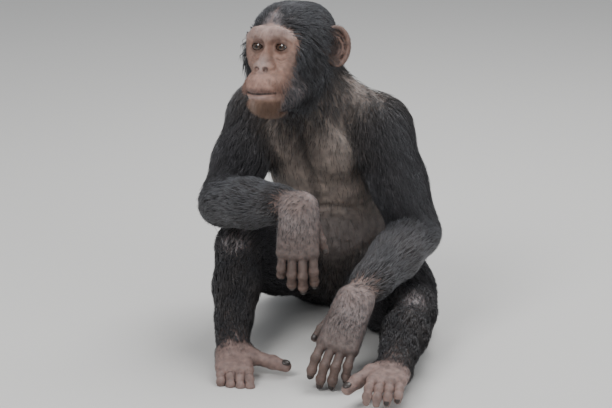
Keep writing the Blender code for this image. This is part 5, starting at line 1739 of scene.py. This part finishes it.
def tufts(root, normal, lie, length, lift, width, sink=0.0015):
    """Seven corners for each tuft: a ring at the root, a ring where it bends, and the tip."""
    lie = unit(lie - (lie * normal).sum(axis=1, keepdims=True) * normal)
    side = np.cross(normal, lie)
    run = np.sqrt(np.maximum(1 - lift**2, 0.05))
    knee = root + (lie * run[:, None] * 0.42 + normal * lift[:, None] * 0.62) * length[:, None]
    tip = root + (lie * run[:, None] + normal * lift[:, None] * 0.85) * length[:, None]
    rings = []
    for centre, share in ((root - normal * sink, 1.0), (knee, 0.85)):
        for angle in (0.0, 2.094, 4.189):
            swing = side * math.cos(angle) + normal * math.sin(angle) * 0.6
            rings.append(centre + swing * (width * share)[:, None])
    return np.stack([*rings, tip], axis=1)


def tuft_colours(plan_colour, rng, count):
    """From a dark root to a paler tip."""
    shade = rng.uniform(0.5, 1.55, count)[:, None]
    tip = plan_colour * shade
    root = np.array(BLACK) * 0.8 + tip * 0.15
    knee = root * 0.45 + tip * 0.55
    return np.stack([root] * 3 + [knee] * 3 + [tip], axis=1)


def coat_colours(plan):
    tone = rising(ripple(plan.points, 0.05, 3), -0.8, 0.9)
    crown = plan.skull * rising(plan.local[:, 2], 0.045, 0.075)
    return painted(
        np.tile(np.array(BLACK) * 2.2, (len(plan.points), 1)),
        (BROWN, 0.5 * tone),
        (GREY, (0.40 + 0.4 * tone) * plan.part("upper_arm", "torso", "thigh")),
        # Painted sheen: grey laid over the hair on the top of the head.
        (GREY, 0.4 * crown * tone),
        (ARM_GREY, (0.35 + 0.45 * tone) * plan.part("forearm", "hand")),
        (ARM_GREY, 0.55 * plan.part("shin", "foot") * tone),
        (FRONT_BROWN, 0.9 * plan.front),
    )


# %% [markdown]
# For the export, each tuft also needs a small patch on an unwrap of the skin. The skin's pieces are near
# enough to cylinders, so each gets a cell of a grid, with the way round it across and the way along it up.

# %% The unwrap that the tufts' patches lie on
CELLS = 7
PATCH = 0.003


def axis_of(name):
    shapes = whole_body.flesh[name].shapes
    centres = [shape.bounds()[0] for shape in shapes]
    start, end = centres[0], centres[-1]
    if name in ("torso", "neck"):
        start, end = PELVIS, COLLAR
    if name == "head":
        start, end = HEAD - HEAD_AXES @ Vector((0, 0, 0.06)), HEAD + HEAD_AXES @ Vector((0, 0, 0.06))
    if (end - start).length < 0.004:
        end = start + Vector((0, 0, 0.01))
    return start, end


def unwrap(points, owner):
    """Each point's place on the skin's own unwrap."""
    spots = np.zeros((len(points), 2))
    for index, name in enumerate(names):
        mine = owner == index
        if not mine.any():
            continue
        start, end = axis_of(name)
        along = (end - start).normalized()
        wide = along.orthogonal().normalized()
        high = along.cross(wide)
        away = points[mine] - np.array(start)
        turn = np.arctan2(away @ np.array(high), away @ np.array(wide)) / (2 * math.pi) + 0.5
        reach = whole_body.flesh[name].radius * 2.2
        rise = np.clip((away - np.array(end - start) / 2) @ np.array(along) / reach + 0.5, 0, 1)
        cell = np.array([index % CELLS, index // CELLS])
        spots[mine] = (cell + 0.03 + 0.94 * np.stack([turn, rise], axis=1)) / CELLS
    return spots


def joined_mesh(name, points, faces, colours, spots):
    """One object from arrays: corners, triangles, a colour for each corner, and the patch of each tuft."""
    mesh = bpy.data.meshes.new(name)
    mesh.vertices.add(len(points))
    mesh.vertices.foreach_set("co", points.ravel())
    mesh.loops.add(faces.size)
    mesh.loops.foreach_set("vertex_index", faces.ravel())
    mesh.polygons.add(len(faces))
    mesh.polygons.foreach_set("loop_start", np.arange(0, faces.size, 3))
    mesh.update(calc_edges=True)
    float_colours(mesh, "marking", colours)
    layer = mesh.uv_layers.new(name="OFBake")
    layer.uv.foreach_set("vector", spots[faces.ravel()].ravel())
    mesh.shade_smooth()
    made = bpy.data.objects.new(name, mesh)
    bpy.context.scene.collection.objects.link(made)
    return made


CORNER_SPOTS = np.array([(0, 0), (1, 0), (0.5, 1), (0.2, 0.2), (0.8, 0.2), (0.5, 0.8), (0.5, 0.5)]) * PATCH


def coat_piece(name, corners, colours, spots):
    """Joins tufts into one piece of the coat."""
    count = len(corners)
    faces = (np.arange(count)[:, None, None] * TUFT_CORNERS + TUFT_FACES).reshape(-1, 3)
    patches = (spots[:, None, :] + CORNER_SPOTS).reshape(-1, 2)
    points = in_box(corners.reshape(-1, 3))
    return joined_mesh(name, points, faces, colours.reshape(-1, 3), patches)


# %% The coat's finish


def coat_material():
    material, tree, shader = new_material("coat")
    marking = node_in(tree, "ShaderNodeAttribute", (-500, 200), attribute_name="marking")
    place = node_in(tree, "ShaderNodeTexCoord", (-900, 0))
    streak = node_in(tree, "ShaderNodeTexNoise", (-700, 0), {"Scale": 160, "Detail": 3})
    gloss = node_in(tree, "ShaderNodeMapRange", (-500, -100), {"To Min": 0.36, "To Max": 0.58})
    wire(
        tree,
        (place, "Object", streak, "Vector"),
        (streak, "Fac", gloss, "Value"),
        (gloss, "Result", shader, "Roughness"),
        (marking, "Color", shader, "Base Color"),
    )
    give(shader, {"Sheen Weight": 0.18, "Sheen Tint": (0.88, 0.92, 1.0, 1.0), "Sheen Roughness": 0.4})
    return material


coat_finish = coat_material()

# %% [markdown]
# A long tuft would leave a round limb at a tangent. Its bend and its tip are therefore drawn back to
# their own height over the skin, with the same function that settled the skin.

# %% Growing the coat
BEND_MOVE = 0.012
CLUMPING = 0.22
TIP_ROOM = 0.0012
BEND_SHARE = 0.66
FRONT_THINNER = 0.45


def laid(corners, ring, depth):
    """Moves a ring of each tuft, as it is, to the level that is depth under the solids."""
    middle = corners[:, ring].mean(axis=1)
    level = under_solids(middle, depth, 1, BEND_MOVE)
    corners[:, ring] += (level - middle)[:, None]
    return corners


root = places.of(skin_corners)
normal = unit(places.of(skin_normals))
lie = places.of(plan.lie)
clump = np.stack([ripple(root, 0.022, seed) for seed in (11, 12, 13)], axis=1)
lie = unit(lie) + CLUMPING * clump + rng.normal(0, 0.10, (TUFTS, 3))
length = places.of(plan.length) * rng.uniform(0.7, 1.2, TUFTS)
stand = places.of(plan.stand)
reach = stand * rng.uniform(0.55, 1.2, TUFTS)
room = np.minimum(np.array(cad_high) - root, root - np.array(cad_low)).min(axis=1)
reach = np.minimum(reach, np.maximum(room - TIP_ROOM, BOX_MARGIN))
lift = np.clip(reach / np.maximum(length, 0.004), 0.08, 0.8)
width = TUFT_WIDTH * (0.30 + 0.70 * rising(length, 0.006, 0.028)) * rng.uniform(0.7, 1.2, TUFTS)
width *= 1 - FRONT_THINNER * places.of(plan.front)
corners = tufts(root, normal, lie, length, lift, width)
skin_depth = places.of(plan.depth)
corners = laid(corners, slice(3, 6), skin_depth - BEND_SHARE * reach)
corners = laid(corners, slice(6, 7), skin_depth - reach)
colours = tuft_colours(places.of(coat_colours(plan)), rng, TUFTS)
owner = plan.owner[places.rows[:, 0]]
spots = unwrap(root, owner)

ENDINGS = {"arm": ("arm", "hand", "thumb", "finger"), "leg": ("thigh", "shin", "foot", "toe")}
coat_names = {
    "head": [name for name in names if name.endswith(("head", "ear", "neck"))],
    "trunk": ["torso"],
}
for side in SIDES:
    for limb, endings in ENDINGS.items():
        on_side = [name for name in names if name.startswith(side)]
        coat_names[f"{side}_{limb}"] = [name for name in on_side if name.endswith(endings)]
coat = []
for region, members in coat_names.items():
    mine = np.flatnonzero(np.isin(owner, [names.index(member) for member in members]))
    parts = math.ceil(len(mine) / MOST_IN_PIECE)
    for index, some in enumerate(np.array_split(mine, max(parts, 1))):
        made = coat_piece(f"coat_{region}_{index + 1}", corners[some], colours[some], spots[some])
        made.data.materials.append(coat_finish)
        coat.append(made)
        print(made.name, len(some), "tufts")

# %% [markdown]
# ## The beard and the bristles
#
# A short pale beard grows on the chin, and single bristles stand on the lips and the brow. They are stiff
# and nearly straight, so a tree scatters thin cones over the bare face: how many there are, and which way
# they point, comes from attributes that the face's corners carry.

# %% A tree that scatters bristles
BRISTLE = {"Density": 2300000.0, "Length": 0.0110, "Radius": 0.00026, "Seed": 5}


def bristle_tree():
    tree = bpy.data.node_groups.new("bristles", "GeometryNodeTree")
    socket(tree, "Face", "NodeSocketGeometry")
    for name in ("Density", "Length", "Radius"):
        socket(tree, name, "NodeSocketFloat", 1.0)
    socket(tree, "Seed", "NodeSocketInt", 0)
    socket(tree, "Material", "NodeSocketMaterial")
    socket(tree, "Bristles", "NodeSocketGeometry", in_out="OUTPUT")
    entry = node_in(tree, "NodeGroupInput", (-1000, 0))
    share = named(tree, (-1000, 300), "bristles", "FLOAT")
    lie = named(tree, (-700, 450), "lie", "FLOAT_VECTOR")
    thick = node_in(tree, "ShaderNodeMath", (-750, 150), operation="MULTIPLY")
    scatter = node_in(tree, "GeometryNodeDistributePointsOnFaces", (-550, 100), distribute_method="RANDOM")
    cone = node_in(tree, "GeometryNodeMeshCone", (-550, -250), {"Vertices": 3}, fill_type="NGON")
    point = node_in(tree, "FunctionNodeAlignRotationToVector", (-350, 350), axis="Z")
    vary = node_in(tree, "FunctionNodeRandomValue", (-350, -300), {2: 0.35, 3: 1.15}, data_type="FLOAT")
    set_out = node_in(tree, "GeometryNodeInstanceOnPoints", (-100, 0))
    real = node_in(tree, "GeometryNodeRealizeInstances", (100, 0))
    finish = node_in(tree, "GeometryNodeSetMaterial", (300, 0))
    leave = node_in(tree, "NodeGroupOutput", (500, 0))
    wire(
        tree,
        (share, "Attribute", thick, 0),
        (entry, "Density", thick, 1),
        (entry, "Face", scatter, "Mesh"),
        (thick, "Value", scatter, "Density"),
        (entry, "Seed", scatter, "Seed"),
        (entry, "Radius", cone, "Radius Bottom"),
        (entry, "Length", cone, "Depth"),
        (lie, "Attribute", point, "Vector"),
        (scatter, "Points", set_out, "Points"),
        (cone, "Mesh", set_out, "Instance"),
        (point, "Rotation", set_out, "Rotation"),
        (vary, 1, set_out, "Scale"),
        (set_out, "Instances", real, "Geometry"),
        (real, "Geometry", finish, "Geometry"),
        (entry, "Material", finish, "Material"),
        (finish, "Geometry", leave, "Bristles"),
    )
    return tree


# %% Growing the beard
# The pale beard, made paler still as a painted highlight.
BEARD_AND_HIGHLIGHT = (0.78, 0.64, 0.46)
DARK_BRISTLE = (0.035, 0.028, 0.026)


def face_patch():
    """A copy of the skin's bare face, with the share of bristles and their lie on its corners."""
    bm = bmesh.new()
    bm.from_mesh(skin.data)
    chosen = (plan.face > 0.4) & (plan.local[:, 1] < -0.045)
    bm.verts.ensure_lookup_table()
    bmesh.ops.delete(bm, geom=[vert for vert in bm.verts if not chosen[vert.index]], context="VERTS")
    patch = plain_object("beard", bm)
    x, _, z = head_frame(corners_of(patch)).T
    beard = rising(-z, 0.070, 0.080) + 0.50 * rising(np.abs(x), 0.020, 0.032) * rising(-z, 0.035, 0.06)
    stubble = 0.05 * rising(-z, 0.028, 0.040) + 0.05 * rising(z, 0.026, 0.034)
    lips = rising(np.abs(z - MOUTH_HEIGHT + 0.002), 0.005, 0.008)
    down = np.array(HEAD_AXES @ Vector((0, -0.25, -1)))
    lie = unit(normals_of(patch) * 0.55 + down + 0.16 * np.stack(
        [ripple(corners_of(patch), 0.004, seed) for seed in (31, 32, 33)], axis=1))
    share = patch.data.attributes.new("bristles", "FLOAT", "POINT")
    share.data.foreach_set("value", ((beard + stubble) * lips).astype(np.float32))
    patch.data.attributes.new("lie", "FLOAT_VECTOR", "POINT").data.foreach_set("vector", lie.ravel())
    return patch


beard = run_tree(face_patch(), bristle_tree(), {**BRISTLE, "Material": coat_finish})
bristle_corners = corners_of(beard).reshape(-1, 4, 3)
roots = bristle_corners.mean(axis=1)
pale = rising(-head_frame(roots)[:, 2], 0.045, 0.065)[:, None]
tint = np.array(BEARD_AND_HIGHLIGHT) * pale + np.array(DARK_BRISTLE) * (1 - pale)
tint = tint * rng.uniform(0.6, 1.3, len(roots))[:, None]
float_colours(beard.data, "marking", np.repeat(tint, 4, axis=0))
patches = unwrap(roots, np.full(len(roots), names.index("head")))
corner_of_loop = np.array([loop.vertex_index for loop in beard.data.loops])
patch_uv = patches[corner_of_loop // 4] + CORNER_SPOTS[corner_of_loop % 4]
layer = beard.data.uv_layers.get("OFBake") or beard.data.uv_layers.new(name="OFBake")
layer.uv.foreach_set("vector", patch_uv.ravel())
for extra in [other.name for other in beard.data.uv_layers if other.name != "OFBake"]:
    beard.data.uv_layers.remove(beard.data.uv_layers[extra])
coat.append(beard)
print("beard:", len(roots), "bristles")

# %% [markdown]
# ## Riding on the frame
#
# The animal is one still body. The skin stands for all the solids of flesh, and the eyeballs for the eyes.

# %% Pieces and what they stand for
flesh_nodes = [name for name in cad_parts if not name.endswith("eye")]
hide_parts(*flesh_nodes)
for side, eye in zip(SIDES, eyes):
    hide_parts(side + "_eye")
for piece in [skin, *eyes, finger_nails, toe_nails, *coat]:
    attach(piece, "root")

# %% [markdown]
# ## Floor, light and camera
#
# A plain pale floor and soft lights. The camera stands where the photograph's stood.

# %% The stage
PIXEL = 0.00175
DISTANCE = 4.0
AZIMUTH = math.radians(20)
ELEVATION = math.radians(15)
SENSOR = 36.0
PICTURE = (612, 408)
SEAT_PIXEL = (342, 305)

bpy.ops.mesh.primitive_plane_add(size=12)
floor = bpy.context.object
floor.name = "floor"
floor.data.materials.append(plain_material("floor", (0.62, 0.61, 0.59), 0.8))


def area_light(name, place, aim, power, size):
    light = bpy.data.lights.new(name, "AREA")
    light.energy = power
    light.size = size
    made = bpy.data.objects.new(name, light)
    bpy.context.scene.collection.objects.link(made)
    made.location = place
    made.rotation_mode = "QUATERNION"
    made.rotation_quaternion = (Vector(aim) - Vector(place)).to_track_quat("-Z", "Y")


area_light("key", (-0.6, -2.6, 2.6), (0, -0.2, 0.3), 75, 1.4)
area_light("fill", (2.6, -1.6, 1.4), (0, -0.2, 0.3), 28, 2.0)
area_light("top", (0.4, 0.9, 2.8), (0, -0.1, 0.3), 70, 1.6)
world = bpy.data.worlds.new("studio")
world.use_nodes = True
give(world.node_tree.nodes["Background"], {"Color": (0.75, 0.78, 0.82, 1), "Strength": 0.55})
bpy.context.scene.world = world

# %% The camera
level = math.cos(ELEVATION)
back = Vector((math.sin(AZIMUTH) * level, -math.cos(AZIMUTH) * level, math.sin(ELEVATION)))
right = Vector((math.cos(AZIMUTH), math.sin(AZIMUTH), 0))
rise = math.sin(ELEVATION)
up = Vector((-math.sin(AZIMUTH) * rise, math.cos(AZIMUTH) * rise, math.cos(ELEVATION)))
aside = PICTURE[0] / 2 - SEAT_PIXEL[0]
above = SEAT_PIXEL[1] - PICTURE[1] / 2
target = right * aside * PIXEL + up * above * PIXEL
lens = bpy.data.cameras.new("camera")
lens.sensor_width = SENSOR
lens.lens = SENSOR * DISTANCE / PIXEL / PICTURE[0]
lens.clip_end = 50
camera = bpy.data.objects.new("camera", lens)
bpy.context.scene.collection.objects.link(camera)
camera.location = target + back * DISTANCE
camera.rotation_mode = "QUATERNION"
camera.rotation_quaternion = (-back).to_track_quat("-Z", "Y")
bpy.context.scene.camera = camera
